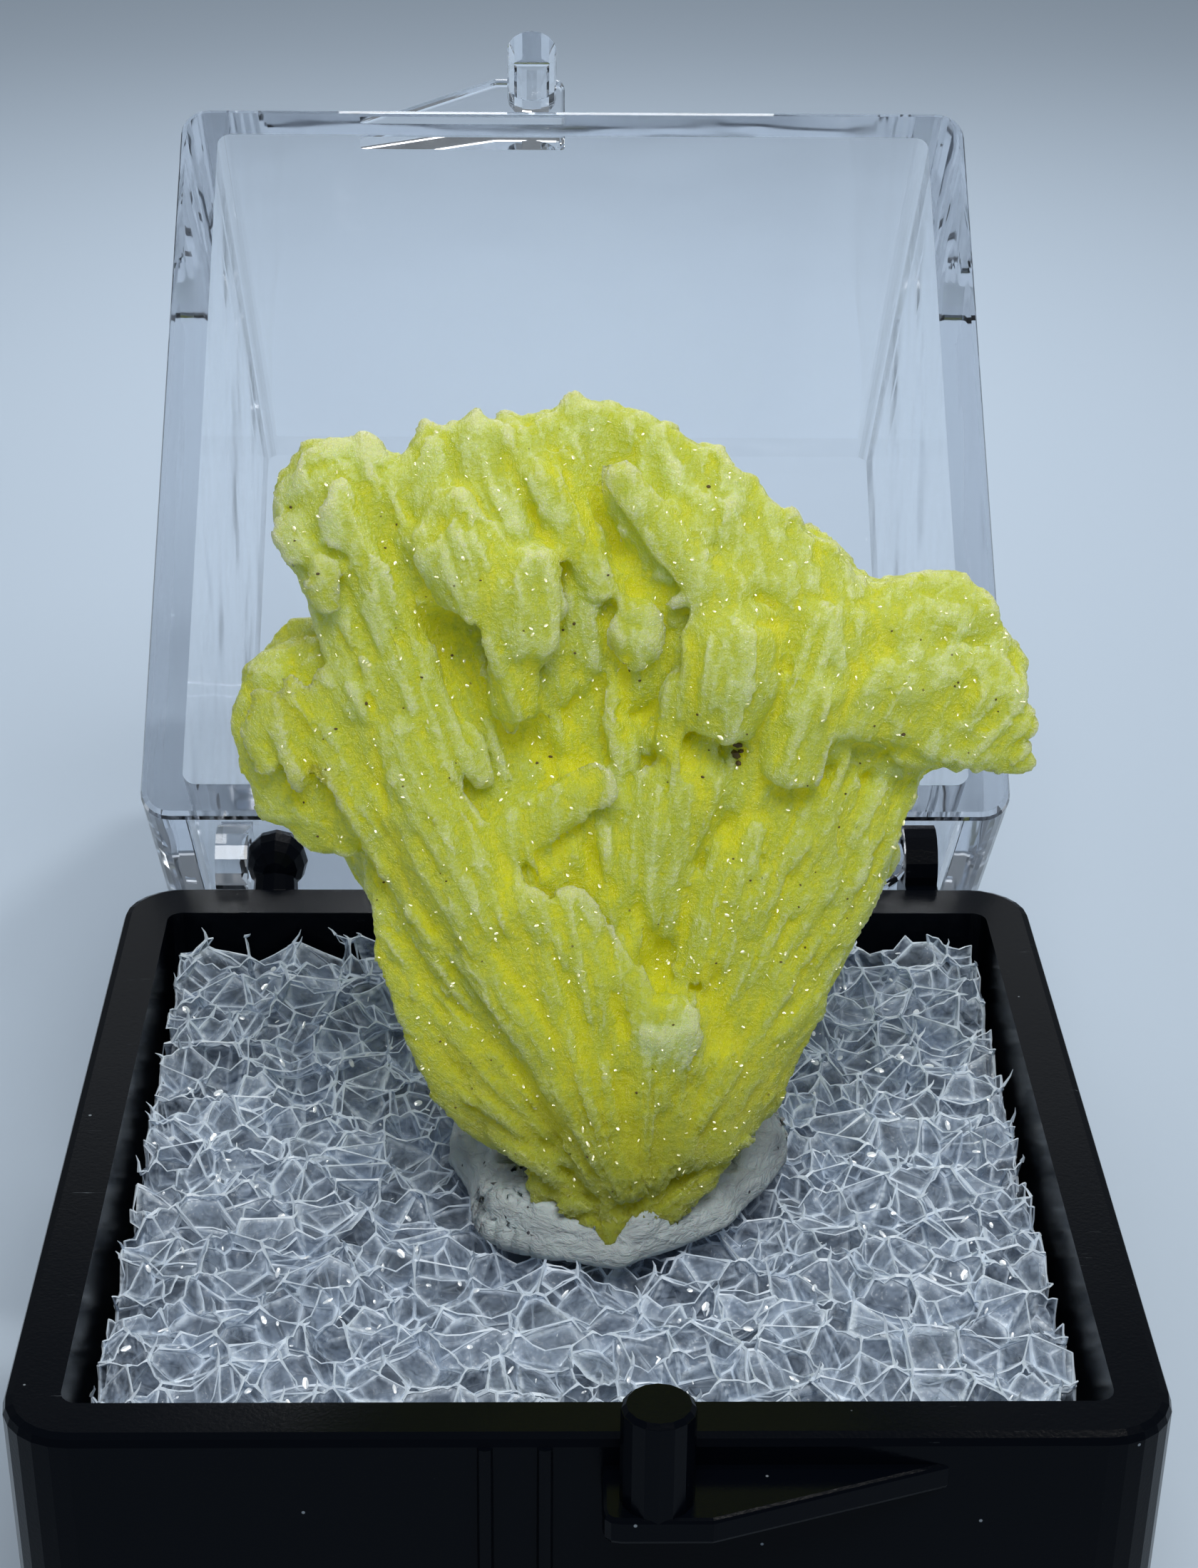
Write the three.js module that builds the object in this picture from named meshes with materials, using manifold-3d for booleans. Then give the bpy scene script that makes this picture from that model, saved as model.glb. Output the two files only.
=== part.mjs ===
// Sulfur specimen in its small hinged box: a fan of lemon-yellow bladed crystals held by putty on a foam block
// in a black tray, with a clear lid standing open behind. Millimetres, +Z up, front towards -Y.
// The origin is the centre of the tray's underside.

import * as THREE from 'three';
import { mergeVertices } from 'three/addons/utils/BufferGeometryUtils.js';
import Module from 'manifold-3d';

const wasm = await Module();
wasm.setup();

// Box: a square of an inch and a quarter
const BOX_WIDTH = 31.75;
const TRAY_HEIGHT = 18.5;
const TRAY_FLOOR = 1.5;
const TRAY_CORNER = 2.0;
const TRAY_DRAFT = 0.021;
const WALL = 1.55;
const BACK_WALL = 2.0;
const RIM_ROUND = 0.3;
const INNER_CORNER = 0.5;

// Lid, in its closed place
const LID_GAP = 0.1;
const LID_DEPTH = 25.5;
const LID_PANEL = 1.3;
const LID_WALL = 1.5;
const LID_FRONT_WALL = 1.3;
const LID_CORNER = 1.1;
const LID_DRAFT = 0.011;
const OPEN_ANGLE = THREE.MathUtils.degToRad(141.3);

// Hinge: a ball on the tray at the left and a ball on the lid at the right, each beside an ear of the other part
const HINGE_BACK = 1.7;
const HINGE_RISE = 0.15;
const BALL_X = 10.8;
const BALL_RADIUS = 1.12;
const NECK_RADIUS = { foot: 0.95, ball: 0.72 };
const DIMPLE_CLEARANCE = 0.18;
const EAR_INNER_X = 11.75;
const EAR_THICKNESS = 1.15;
const EAR_RADIUS = 1.3;

// Latch: a ledge with a peg on each part, side by side when the box is closed
const LEDGE_DROP = 0.9;
const LEDGE_THICKNESS = 0.8;
const LEDGE_REACH = 2.3;
const TRAY_LEDGE = { near: 0.3, square: 3.2, far: 9.6 };
const LID_LEDGE = { near: 0.35, square: 3.2, far: 8.7 };
const TRAY_PEG_X = 1.75;
const LID_PEG_X = -1.7;
const PEG_RADIUS = 1.0;
const PEG_SIDES = 16;
const PEG_END_ROUND = 0.14;
const PEG_FROM_WALL = 1.3;
const PEG_RISE = 2.1;
const RIB_PLACES = [-2.8, -1.2];
const RIB_HEIGHT = 4.2;
const RIB_RADIUS = 0.22;

// Foam block and putty
const FOAM_TOP_DROP = 1.3;
const FOAM_CLEARANCE = 0.3;
const PUTTY_CENTRE = { x: 0.9, y: -0.9 };
const PUTTY_SPREAD = { x: 5.2, y: 5.3 };
const PUTTY_HEIGHT = 2.7;
const TOUCH_GAP = 0.3;

// Specimen: it leans back from a foot point at the front of the putty
const FOOT = { x: 0.7, y: -5.3, aboveRim: -1.5 };
const LEAN_BACK = THREE.MathUtils.degToRad(15);

const HALF = BOX_WIDTH / 2;
const RIM = TRAY_HEIGHT;
const FOAM_TOP = RIM - FOAM_TOP_DROP;
const HINGE_Y = HALF + HINGE_BACK;
const HINGE_Z = RIM + HINGE_RISE;

// Solids
function solidOf(geometry) {
  const bare = geometry.clone();
  bare.deleteAttribute('normal');
  bare.deleteAttribute('uv');
  const merged = mergeVertices(bare, 1e-4);
  return new wasm.Manifold(new wasm.Mesh({
    numProp: 3,
    vertProperties: new Float32Array(merged.attributes.position.array),
    triVerts: new Uint32Array(merged.index.array),
  }));
}

function geometryOf(solid) {
  const mesh = solid.getMesh();
  const geometry = new THREE.BufferGeometry();
  geometry.setAttribute('position', new THREE.BufferAttribute(new Float32Array(mesh.vertProperties), 3));
  geometry.setIndex(new THREE.BufferAttribute(new Uint32Array(mesh.triVerts), 1));
  geometry.computeVertexNormals();
  return geometry;
}

function join(parts) {
  return parts.map(solidOf).reduce((whole, piece) => whole.add(piece));
}

function largestBody(solid) {
  return solid.decompose().reduce((best, body) => (body.volume() > best.volume() ? body : best));
}

// Shapes
function roundedRect(x0, y0, x1, y1, radius) {
  const shape = new THREE.Shape();
  shape.moveTo(x0 + radius, y0);
  shape.lineTo(x1 - radius, y0);
  shape.absarc(x1 - radius, y0 + radius, radius, -Math.PI / 2, 0);
  shape.lineTo(x1, y1 - radius);
  shape.absarc(x1 - radius, y1 - radius, radius, 0, Math.PI / 2);
  shape.lineTo(x0 + radius, y1);
  shape.absarc(x0 + radius, y1 - radius, radius, Math.PI / 2, Math.PI);
  shape.lineTo(x0, y0 + radius);
  shape.absarc(x0 + radius, y0 + radius, radius, Math.PI, Math.PI * 1.5);
  return shape;
}

// An upright block with its long edges rounded off at both ends when round is more than zero
function block(shape, z0, z1, round = 0) {
  const geometry = new THREE.ExtrudeGeometry(shape, {
    depth: z1 - z0 - 2 * round,
    curveSegments: 3,
    bevelEnabled: round > 0,
    bevelThickness: round,
    bevelSize: round,
    bevelOffset: -round,
    bevelSegments: 2,
  });
  return geometry.translate(0, 0, z0 + round);
}

// Draws a moulded block in towards the end that leaves the mould first
function drafted(geometry, wideZ, slope) {
  const place = geometry.attributes.position;
  for (let i = 0; i < place.count; i += 1) {
    const inwards = 1 - (slope * Math.abs(place.getZ(i) - wideZ)) / HALF;
    place.setX(i, place.getX(i) * inwards);
    place.setY(i, place.getY(i) * inwards);
  }
  return geometry;
}

// A round bar between two points
function bar(from, to, radiusFrom, radiusTo, sides = 12) {
  const start = new THREE.Vector3(...from);
  const along = new THREE.Vector3(...to).sub(start);
  const geometry = new THREE.CylinderGeometry(radiusTo, radiusFrom, along.length(), sides);
  geometry.translate(0, along.length() / 2, 0);
  geometry.applyQuaternion(new THREE.Quaternion().setFromUnitVectors(
    new THREE.Vector3(0, 1, 0),
    along.clone().normalize(),
  ));
  return geometry.translate(...from);
}

function ball(x, y, z, radius) {
  return new THREE.SphereGeometry(radius, 12, 8).translate(x, y, z);
}

// A latch ledge seen from above: square at the near end, sloping back to the wall at the far end
function ledgeShape({ near, square, far }, side) {
  const wall = -HALF + 0.6;
  const front = -HALF - LEDGE_REACH;
  const corner = 0.5;
  const shape = new THREE.Shape();
  shape.moveTo(near, wall);
  shape.lineTo(near, front + corner);
  shape.quadraticCurveTo(near, front, near + corner, front);
  shape.lineTo(square, front);
  shape.lineTo(far, -HALF);
  shape.lineTo(far, wall);
  if (side > 0) {
    return shape;
  }
  return new THREE.Shape(shape.getPoints(5).map((point) => new THREE.Vector2(-point.x, point.y)).reverse());
}

// An ear beside a hinge ball, with the ball's dimple in its inner face, carried by a web that reaches the wall
function ear(side, webReach) {
  const inner = side * EAR_INNER_X;
  const outer = side * (EAR_INNER_X + EAR_THICKNESS);
  const low = Math.min(inner, outer);
  const faceFrom = [low, HINGE_Y, HINGE_Z];
  const faceTo = [low + EAR_THICKNESS, HINGE_Y, HINGE_Z];
  const disc = bar(faceFrom, faceTo, EAR_RADIUS, EAR_RADIUS, 16);
  const webStart = HALF - 0.5;
  const webDepth = HINGE_Y + EAR_RADIUS * 0.75 - webStart;
  const webMiddle = HINGE_Z + Math.sign(webReach) * 0.35 + webReach / 2;
  const web = new THREE.BoxGeometry(EAR_THICKNESS, webDepth, Math.abs(webReach));
  web.translate(low + EAR_THICKNESS / 2, webStart + webDepth / 2, webMiddle);
  const dimple = solidOf(ball(side * BALL_X, HINGE_Y, HINGE_Z, BALL_RADIUS + DIMPLE_CLEARANCE));
  return join([disc, web]).subtract(dimple);
}

function trayGeometry() {
  const outer = block(roundedRect(-HALF, -HALF, HALF, HALF, TRAY_CORNER), 0, RIM, RIM_ROUND);
  const hollow = block(
    roundedRect(-HALF + WALL, -HALF + WALL, HALF - WALL, HALF - BACK_WALL, INNER_CORNER),
    TRAY_FLOOR,
    RIM + 1,
  );
  const ledgeTop = RIM - LEDGE_DROP;
  const pegY = -HALF - PEG_FROM_WALL;
  const ledge = block(ledgeShape(TRAY_LEDGE, 1), ledgeTop - LEDGE_THICKNESS, ledgeTop, 0.12);
  const pegTop = RIM + PEG_RISE;
  const pegShoulder = pegTop - PEG_END_ROUND;
  const pegFoot = [TRAY_PEG_X, pegY, ledgeTop - 0.4];
  const peg = bar(pegFoot, [TRAY_PEG_X, pegY, pegShoulder], PEG_RADIUS, PEG_RADIUS, PEG_SIDES);
  const pegEnd = bar(
    [TRAY_PEG_X, pegY, pegShoulder - 0.02],
    [TRAY_PEG_X, pegY, pegTop],
    PEG_RADIUS,
    PEG_RADIUS - PEG_END_ROUND,
    PEG_SIDES,
  );
  const ribTop = RIM - RIM_ROUND;
  const ribs = RIB_PLACES.map((x) => (
    bar([x, -HALF + 0.03, ribTop - RIB_HEIGHT], [x, -HALF + 0.03, ribTop], RIB_RADIUS, RIB_RADIUS, 8)
  ));
  const neckFoot = [-BALL_X, HALF - 0.8, RIM - 2.0];
  const neck = bar(neckFoot, [-BALL_X, HINGE_Y, HINGE_Z], NECK_RADIUS.foot, NECK_RADIUS.ball);
  const hingeBall = ball(-BALL_X, HINGE_Y, HINGE_Z, BALL_RADIUS);
  return geometryOf(
    solidOf(drafted(outer, RIM, TRAY_DRAFT))
      .subtract(solidOf(drafted(hollow, RIM, TRAY_DRAFT)))
      .add(join([ledge, peg, pegEnd, ...ribs, neck, hingeBall]))
      .add(ear(1, -2.2)),
  );
}

function lidGeometry() {
  const rim = RIM + LID_GAP;
  const outer = block(roundedRect(-HALF, -HALF, HALF, HALF, LID_CORNER), rim, rim + LID_DEPTH, 0.25);
  const innerX = HALF - LID_WALL;
  const innerY = HALF - LID_FRONT_WALL;
  const hollowShape = roundedRect(-innerX, -innerY, innerX, innerY, INNER_CORNER);
  const hollow = block(hollowShape, rim - 1, rim + LID_DEPTH - LID_PANEL);
  const ledgeBottom = rim + LEDGE_DROP;
  const pegY = -HALF - PEG_FROM_WALL;
  const ledge = block(ledgeShape(LID_LEDGE, -1), ledgeBottom, ledgeBottom + LEDGE_THICKNESS, 0.12);
  const pegFoot = [LID_PEG_X, pegY, ledgeBottom + 0.4];
  const peg = bar(pegFoot, [LID_PEG_X, pegY, rim - PEG_RISE], PEG_RADIUS, PEG_RADIUS, PEG_SIDES);
  const neckFoot = [BALL_X, HALF - 0.7, rim + 2.1];
  const neck = bar(neckFoot, [BALL_X, HINGE_Y, HINGE_Z], NECK_RADIUS.foot, NECK_RADIUS.ball);
  const hingeBall = ball(BALL_X, HINGE_Y, HINGE_Z, BALL_RADIUS);
  const closed = solidOf(drafted(outer, rim, LID_DRAFT))
    .subtract(solidOf(drafted(hollow, rim, LID_DRAFT)))
    .add(join([ledge, peg, neck, hingeBall]))
    .add(ear(-1, 2.2));
  return geometryOf(closed).translate(0, -HINGE_Y, -HINGE_Z);
}

function foamGeometry() {
  const inset = WALL + FOAM_CLEARANCE;
  const foot = TRAY_FLOOR + FOAM_CLEARANCE;
  const back = HALF - BACK_WALL - FOAM_CLEARANCE;
  const shape = roundedRect(-HALF + inset, -HALF + inset, HALF - inset, back, INNER_CORNER);
  return drafted(block(shape, foot, FOAM_TOP), RIM, TRAY_DRAFT);
}

// Crystals are set out on the specimen's own leaning plane: u to the right, v up along it, w towards the front.
// Profiles run from the foot of a crystal to its tip, as [share of half width, share of length].
const BLADE = [[0, 0], [0.94, 0.05], [0.86, 0.93], [0, 1]];
const LUMP = [[0, 0], [0.75, 0.07], [1, 0.5], [0.82, 0.9], [0, 1]];
const SPIKE = [[0, 0], [0.85, 0.55], [1, 0.8], [0, 1]];

function crystal(profile, sides, foot, tip, width, thickness, turn, grow = 0) {
  const start = new THREE.Vector3(foot[0], -foot[2], foot[1]);
  const end = new THREE.Vector3(tip[0], -tip[2], tip[1]);
  const along = end.clone().sub(start);
  const length = along.length() + 2 * grow;
  const axis = along.normalize();
  start.addScaledVector(axis, -grow);
  const points = profile.map(([radius, height]) => new THREE.Vector2(radius, height * length));
  const geometry = new THREE.LatheGeometry(points, sides);
  geometry.rotateY(Math.PI / sides);
  geometry.scale(width / 2 + grow, 1, thickness / 2 + grow);
  geometry.rotateY(THREE.MathUtils.degToRad(turn));
  const forward = new THREE.Vector3(0, -1, 0);
  const across = new THREE.Vector3().crossVectors(axis, forward).normalize();
  const outwards = new THREE.Vector3().crossVectors(across, axis);
  geometry.applyMatrix4(new THREE.Matrix4().makeBasis(across, axis, outwards));
  return geometry.translate(start.x, start.y, start.z);
}

// Left flank and the long pale ridges: foot u v w, tip u v w, width, thickness, turn
const RIDGES = [
  [-2.2, 3.3, 0.3, -6.9, 15.0, -0.2, 2.8, 2.2, -16],
  [-3.1, 4.2, -1.4, -7.0, 12.6, -1.6, 1.9, 1.8, -10],
  [0.5, 2.2, 1.3, -5.9, 15.2, 1.0, 2.3, 1.7, -24],
  [0.9, 3.7, 1.3, -3.3, 12.2, 1.3, 1.5, 1.5, 14],
  [-1.0, 4.2, 0.9, -5.3, 13.6, 1.3, 1.2, 1.5, -34],
  [-4.6, 9.0, 0.5, -6.4, 16.6, 0.9, 1.6, 1.6, -20],
];
// Plates about the hollow in the middle
const MIDDLE = [
  [0.95, 8.3, 1.5, -2.7, 11.5, 1.8, 1.7, 0.9, 16],
  [0.0, 7.8, 1.1, -1.9, 10.3, 1.5, 1.6, 1.3, 10],
  [-3.9, 12.2, 0.8, 0.15, 15.0, 1.3, 1.9, 1.1, -12],
  [-0.1, 8.6, 0.2, 2.9, 15.4, 0.9, 1.9, 1.7, 22],
  [1.0, 9.6, -0.5, 4.4, 16.6, 0.4, 1.8, 1.7, 12],
  [1.9, 3.1, 0.8, 1.2, 7.0, 1.2, 2.4, 1.7, 4],
  [3.0, 3.0, 0.4, 2.8, 6.8, 0.7, 2.1, 1.6, -10],
  [1.7, 5.9, 1.1, 1.6, 8.5, 1.4, 2.4, 1.8, 40],
];
// Striped right flank, fanning from the foot to the upper right
const FLANK = [
  [4.1, 3.9, -1.0, 8.9, 15.0, -1.1, 1.2, 2.2, 34],
  [5.2, 6.2, -1.7, 8.3, 12.7, -2.2, 1.1, 1.6, 10],
  [3.6, 3.5, -0.3, 8.0, 14.8, -0.4, 1.2, 1.7, 26],
  [3.1, 3.3, 0.1, 7.0, 15.0, 0.1, 1.2, 1.5, 18],
  [2.6, 4.2, 0.2, 6.0, 14.8, 0.4, 1.0, 1.4, 30],
  [2.4, 5.6, 0.3, 5.0, 14.6, 0.5, 1.1, 1.3, 12],
];
// Broken olive pieces at the foot
const FOOT_BITS = [
  [0.1, 0.4, 1.15, -0.1, 2.6, 0.3, 1.4, 1.2, 10],
  [-1.9, 1.7, -0.1, -1.5, 3.9, 0.2, 1.6, 1.6, -20],
  [-0.9, 1.2, 0.4, -0.6, 3.4, 0.5, 1.6, 1.6, 12],
  [0.8, 1.3, 0.3, 0.8, 3.3, 0.4, 1.6, 1.5, 24],
  [1.2, 1.9, -0.5, 3.7, 3.5, -0.6, 1.6, 2.2, 0],
];
// Upright blades whose tips make the scalloped top edge
const CREST = [
  [-6.6, 12.5, -0.3, -7.2, 23.6, 0.3, 3.0, 2.8, -8],
  [-6.1, 16.2, 0.4, -6.1, 24.0, 0.2, 2.1, 2.2, 14],
  [-5.0, 19.4, 0.7, -5.1, 24.75, 0.1, 1.7, 2.2, -20],
  [-4.2, 20.2, 0.8, -3.9, 25.1, 0.0, 1.6, 2.2, 20],
  [-3.0, 20.4, 0.8, -2.9, 25.0, -0.1, 2.0, 2.2, 0],
  [-2.0, 21.2, 0.4, -1.8, 25.2, -0.3, 1.8, 2.2, 16],
  [-0.9, 21.0, 0.2, -0.7, 25.55, -0.5, 1.9, 2.2, -12],
  [0.6, 20.8, 0.2, 0.4, 25.3, -0.6, 2.0, 2.2, 8],
  [2.2, 20.4, 0.5, 1.4, 24.8, -0.5, 1.8, 2.2, 20],
  [3.7, 20.2, 0.7, 2.5, 24.2, -0.5, 1.8, 2.2, 22],
  [4.6, 19.6, 0.7, 3.5, 23.4, -0.5, 1.7, 2.2, 22],
  [5.3, 19.0, 0.7, 4.6, 22.4, -0.5, 1.8, 2.2, 18],
  [6.3, 18.2, 0.6, 5.8, 21.5, -0.5, 1.8, 2.2, 14],
];
// Pale blades and scales over the upper face
const UPPER = [
  [3.0, 19.8, 1.4, -0.2, 23.9, 1.5, 1.6, 1.2, 18],
  [-0.1, 19.8, 1.2, -2.3, 23.9, 1.1, 1.2, 1.2, 20],
  [-2.9, 20.1, 1.9, -4.9, 23.0, 1.4, 1.7, 1.2, -18],
  [-3.5, 19.5, 1.8, -5.6, 22.0, 1.5, 1.5, 1.3, -12],
  [-2.3, 18.3, 1.8, -2.2, 21.5, 1.8, 1.9, 1.4, 6],
  [-2.9, 16.2, 1.1, -3.6, 20.7, 2.1, 0.7, 1.6, 30],
  [-2.4, 16.4, 1.0, -2.5, 19.2, 1.8, 0.9, 1.3, -20],
  [1.5, 15.3, 0.9, 1.9, 17.8, 1.4, 1.1, 1.2, 16],
  [2.2, 18.4, 1.5, 3.5, 20.7, 1.4, 1.5, 1.2, 10],
  [5.0, 14.5, 1.0, 5.8, 17.8, 1.4, 2.3, 1.4, -8],
  [5.7, 16.4, 1.1, 5.8, 19.8, 1.0, 1.6, 1.5, 14],
  [6.9, 15.8, 0.8, 6.9, 19.8, 0.6, 1.5, 1.5, -18],
  [-1.0, 12.6, -0.6, -2.4, 18.0, 0.4, 1.1, 1.6, 26],
  [-4.4, 14.8, 0.6, -6.3, 18.6, 1.0, 1.6, 1.3, -14],
];
// Layered wing at the right
const WING = [
  [6.8, 18.5, 0.2, 11.3, 19.1, -0.5, 2.9, 2.0, 10],
  [6.4, 17.7, 0.8, 12.1, 16.9, 0.1, 2.1, 1.7, -10],
  [6.6, 16.6, 0.7, 12.35, 15.1, 0.0, 1.5, 1.5, 16],
  [7.3, 19.0, -0.3, 10.2, 20.1, -0.7, 1.5, 1.6, 0],
  [9.4, 19.6, -0.3, 11.9, 17.4, -0.4, 1.7, 1.5, 24],
];
// Rounded lumps
const LUMPS = [
  [-9.15, 12.8, -0.9, -9.5, 18.3, -0.9, 3.3, 2.3, 0],
  [-7.8, 12.3, -0.8, -7.9, 18.4, -0.8, 2.4, 2.4, 0],
  [-7.9, 19.6, 0.2, -8.0, 24.0, 0.2, 2.9, 2.6, 0],
  [3.0, 15.8, 1.3, 3.6, 19.7, 1.7, 2.9, 2.1, 0],
  [0.7, 17.8, 1.3, 0.9, 19.9, 1.5, 1.7, 1.5, 0],
];
// Plates of the hidden back, fanned by a rule: every row ends lower and stands further out than the one before
const BACK_FAN = {
  rows: 2,
  plates: 6,
  spreadDegrees: 30,
  footV: 2.8,
  reach: 20.4,
  rowDrop: 5.8,
  shoulderDrop: 1.8,
  depth: 2.8,
  rowDepth: 1.0,
  width: 4.9,
  thickness: 2.6,
};

function backFan(build) {
  const made = [];
  for (let row = 0; row < BACK_FAN.rows; row += 1) {
    for (let i = 0; i < BACK_FAN.plates; i += 1) {
      const share = (i + 0.5 * (row % 2)) / (BACK_FAN.plates - 0.5) - 0.5;
      const angle = THREE.MathUtils.degToRad(2 * share * BACK_FAN.spreadDegrees);
      const shoulder = BACK_FAN.shoulderDrop * Math.max(0, Math.sin(Math.PI * share));
      const uneven = 0.9 * Math.sin(5 * i + 2 * row);
      const reach = BACK_FAN.reach - row * BACK_FAN.rowDrop - 7 * share * share - shoulder + uneven;
      const footU = 0.8 + 2.4 * share;
      const depth = BACK_FAN.depth + row * BACK_FAN.rowDepth;
      const foot = [footU, BACK_FAN.footV, -0.45 * depth];
      const tip = [footU + reach * Math.sin(angle), BACK_FAN.footV + reach * Math.cos(angle), -depth];
      const width = BACK_FAN.width - 0.9 * row;
      made.push(build(BLADE, 6, foot, tip, width, BACK_FAN.thickness, 14 * Math.sin(3 * i + row)));
    }
  }
  return made;
}

// Outline of the whole fan as [u, v], clockwise from the lump at the upper left
const OUTLINE = [
  [-9.35, 23.0], [-8.7, 23.8], [-7.9, 24.1], [-7.0, 24.1], [-5.9, 23.7], [-5.2, 24.3], [-4.4, 24.4], [-3.9, 24.9],
  [-2.5, 24.8], [-1.5, 25.2], [-0.3, 25.25], [0.6, 24.9], [1.9, 24.3], [3.2, 23.4], [4.0, 22.6], [4.6, 21.9],
  [5.8, 21.3], [6.8, 20.9], [7.65, 20.1], [8.6, 20.4], [9.6, 20.5], [10.5, 20.1], [11.2, 19.0], [11.9, 17.4],
  [12.1, 16.2], [12.2, 14.9], [11.6, 14.6], [10.5, 14.95], [9.5, 14.95], [8.9, 13.8], [8.3, 12.0], [7.4, 10.4],
  [6.8, 9.1], [5.9, 7.8], [5.1, 6.0], [4.8, 4.5], [4.0, 3.4], [2.7, 2.4], [1.3, 2.0], [0.4, 1.6],
  [-0.6, 1.5], [-1.7, 1.8], [-2.2, 2.5], [-2.9, 3.4], [-3.6, 4.4], [-4.4, 5.8], [-5.1, 7.2],
  [-5.8, 8.8], [-6.6, 10.2], [-7.2, 11.2], [-7.7, 12.3], [-8.9, 12.7], [-9.7, 13.6], [-10.4, 15.0], [-10.85, 16.6],
  [-10.3, 18.0], [-9.3, 18.4], [-8.35, 18.4], [-8.4, 19.6], [-8.9, 21.0], [-9.4, 22.0],
];
const HEART_CENTRE = { u: 0.2, v: 14.5 };

// The mass that the blades grow from: a thin sheet to the very outline and a thicker heart inside it, each drawn in
// towards its front and back, thinner towards the foot, and swelling and sinking a little along the fan
const LAYERS = [
  { share: 1, front: -0.3, back: -2.1, drawnIn: 0.05 },
  { share: 0.84, front: 0.35, back: -2.8, drawnIn: 0.14 },
];

function heartParts() {
  const shape = new THREE.Shape(OUTLINE.map(([u, v]) => new THREE.Vector2(u, v)));
  return LAYERS.map(({ share, front, back, drawnIn }) => {
    const geometry = new THREE.ExtrudeGeometry(shape, { depth: 1, steps: 2, bevelEnabled: false });
    const place = geometry.attributes.position;
    for (let i = 0; i < place.count; i += 1) {
      const level = place.getZ(i);
      const scale = share * (level < 0.1 || level > 0.9 ? 1 - drawnIn : 1);
      const u = HEART_CENTRE.u + (place.getX(i) - HEART_CENTRE.u) * scale;
      const v = HEART_CENTRE.v + (place.getY(i) - HEART_CENTRE.v) * scale;
      const w = back + (front - back) * level;
      const depthShare = 0.6 + 0.4 * THREE.MathUtils.smoothstep(v, 2, 16);
      const swell = 0.25 * Math.sin(0.7 * u + 0.3 * v) - 0.02 * Math.abs(u) * (v / 20);
      place.setXYZ(i, u, -(w * depthShare + swell), v);
    }
    return solidOf(geometry);
  });
}

function frontCrystals(build) {
  const blades = [...RIDGES, ...MIDDLE, ...FLANK, ...CREST, ...UPPER, ...WING];
  const set = (profile, sides) => ([fu, fv, fw, tu, tv, tw, width, thickness, turn]) => (
    build(profile, sides, [fu, fv, fw], [tu, tv, tw], width, thickness, turn)
  );
  return [
    ...blades.map(set(BLADE, 6)),
    ...FOOT_BITS.map(set(SPIKE, 6)),
    ...LUMPS.map(set(LUMP, 8)),
  ];
}

const specimenPlace = new THREE.Matrix4()
  .makeTranslation(FOOT.x, FOOT.y, RIM + FOOT.aboveRim)
  .multiply(new THREE.Matrix4().makeRotationX(-LEAN_BACK));

function clusterSolid() {
  const crystals = [...frontCrystals(crystal), ...backFan(crystal)].map(solidOf);
  const whole = [...heartParts(), ...crystals].reduce((sum, piece) => sum.add(piece));
  return largestBody(whole);
}

const cluster = clusterSolid();

// Putty: a pressed lump round the foot, with a pocket that clears every crystal near it
function puttyGeometry() {
  const lump = new THREE.SphereGeometry(1, 16, 8);
  const place = lump.attributes.position;
  for (let i = 0; i < place.count; i += 1) {
    const x = place.getX(i);
    const y = place.getY(i);
    const z = place.getZ(i);
    const round = Math.atan2(y, x);
    const wave = 1 + 0.06 * Math.sin(3 * round + 0.8) + 0.035 * Math.sin(7 * round);
    place.setXYZ(i, x * PUTTY_SPREAD.x * wave, y * PUTTY_SPREAD.y * wave, z * PUTTY_HEIGHT);
  }
  lump.translate(PUTTY_CENTRE.x, PUTTY_CENTRE.y, FOAM_TOP + TOUCH_GAP + 0.2);
  const below = new THREE.BoxGeometry(30, 30, 10).translate(0, 0, FOAM_TOP + TOUCH_GAP - 5);
  const grown = (...spec) => crystal(...spec, TOUCH_GAP);
  const pocket = [...frontCrystals(grown), ...backFan(grown)]
    .map((geometry) => geometry.applyMatrix4(specimenPlace))
    .filter((geometry) => {
      geometry.computeBoundingBox();
      return geometry.boundingBox.min.z < FOAM_TOP + PUTTY_HEIGHT + 1;
    })
    .map(solidOf);
  const heart = solidOf(geometryOf(cluster).applyMatrix4(specimenPlace));
  let putty = solidOf(lump).subtract(solidOf(below));
  [...pocket, heart].forEach((hole) => {
    putty = putty.subtract(hole);
  });
  return geometryOf(largestBody(putty));
}

// Finishes
const trayFinish = new THREE.MeshStandardMaterial({ color: 0x0d1117, roughness: 0.22, metalness: 0 });
const lidFinish = new THREE.MeshStandardMaterial({
  color: 0xe4ecf5, roughness: 0.06, metalness: 0, transparent: true, opacity: 0.35,
});
const foamFinish = new THREE.MeshStandardMaterial({ color: 0xc3ccd8, roughness: 0.7, metalness: 0 });
const puttyFinish = new THREE.MeshStandardMaterial({ color: 0xb7bcc0, roughness: 0.85, metalness: 0 });
const sulfurFinish = new THREE.MeshStandardMaterial({ color: 0xc3cc3a, roughness: 0.45, metalness: 0 });

function namedMesh(name, geometry, finish) {
  const mesh = new THREE.Mesh(geometry, finish);
  mesh.name = name;
  return mesh;
}

const specimenBox = new THREE.Group();

specimenBox.add(namedMesh('base_tray', trayGeometry(), trayFinish));
specimenBox.add(namedMesh('foam_block', foamGeometry(), foamFinish));
specimenBox.add(namedMesh('putty', puttyGeometry(), puttyFinish));

const sulfur = namedMesh('sulfur_cluster', geometryOf(cluster), sulfurFinish);
sulfur.applyMatrix4(specimenPlace);
specimenBox.add(sulfur);

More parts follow.
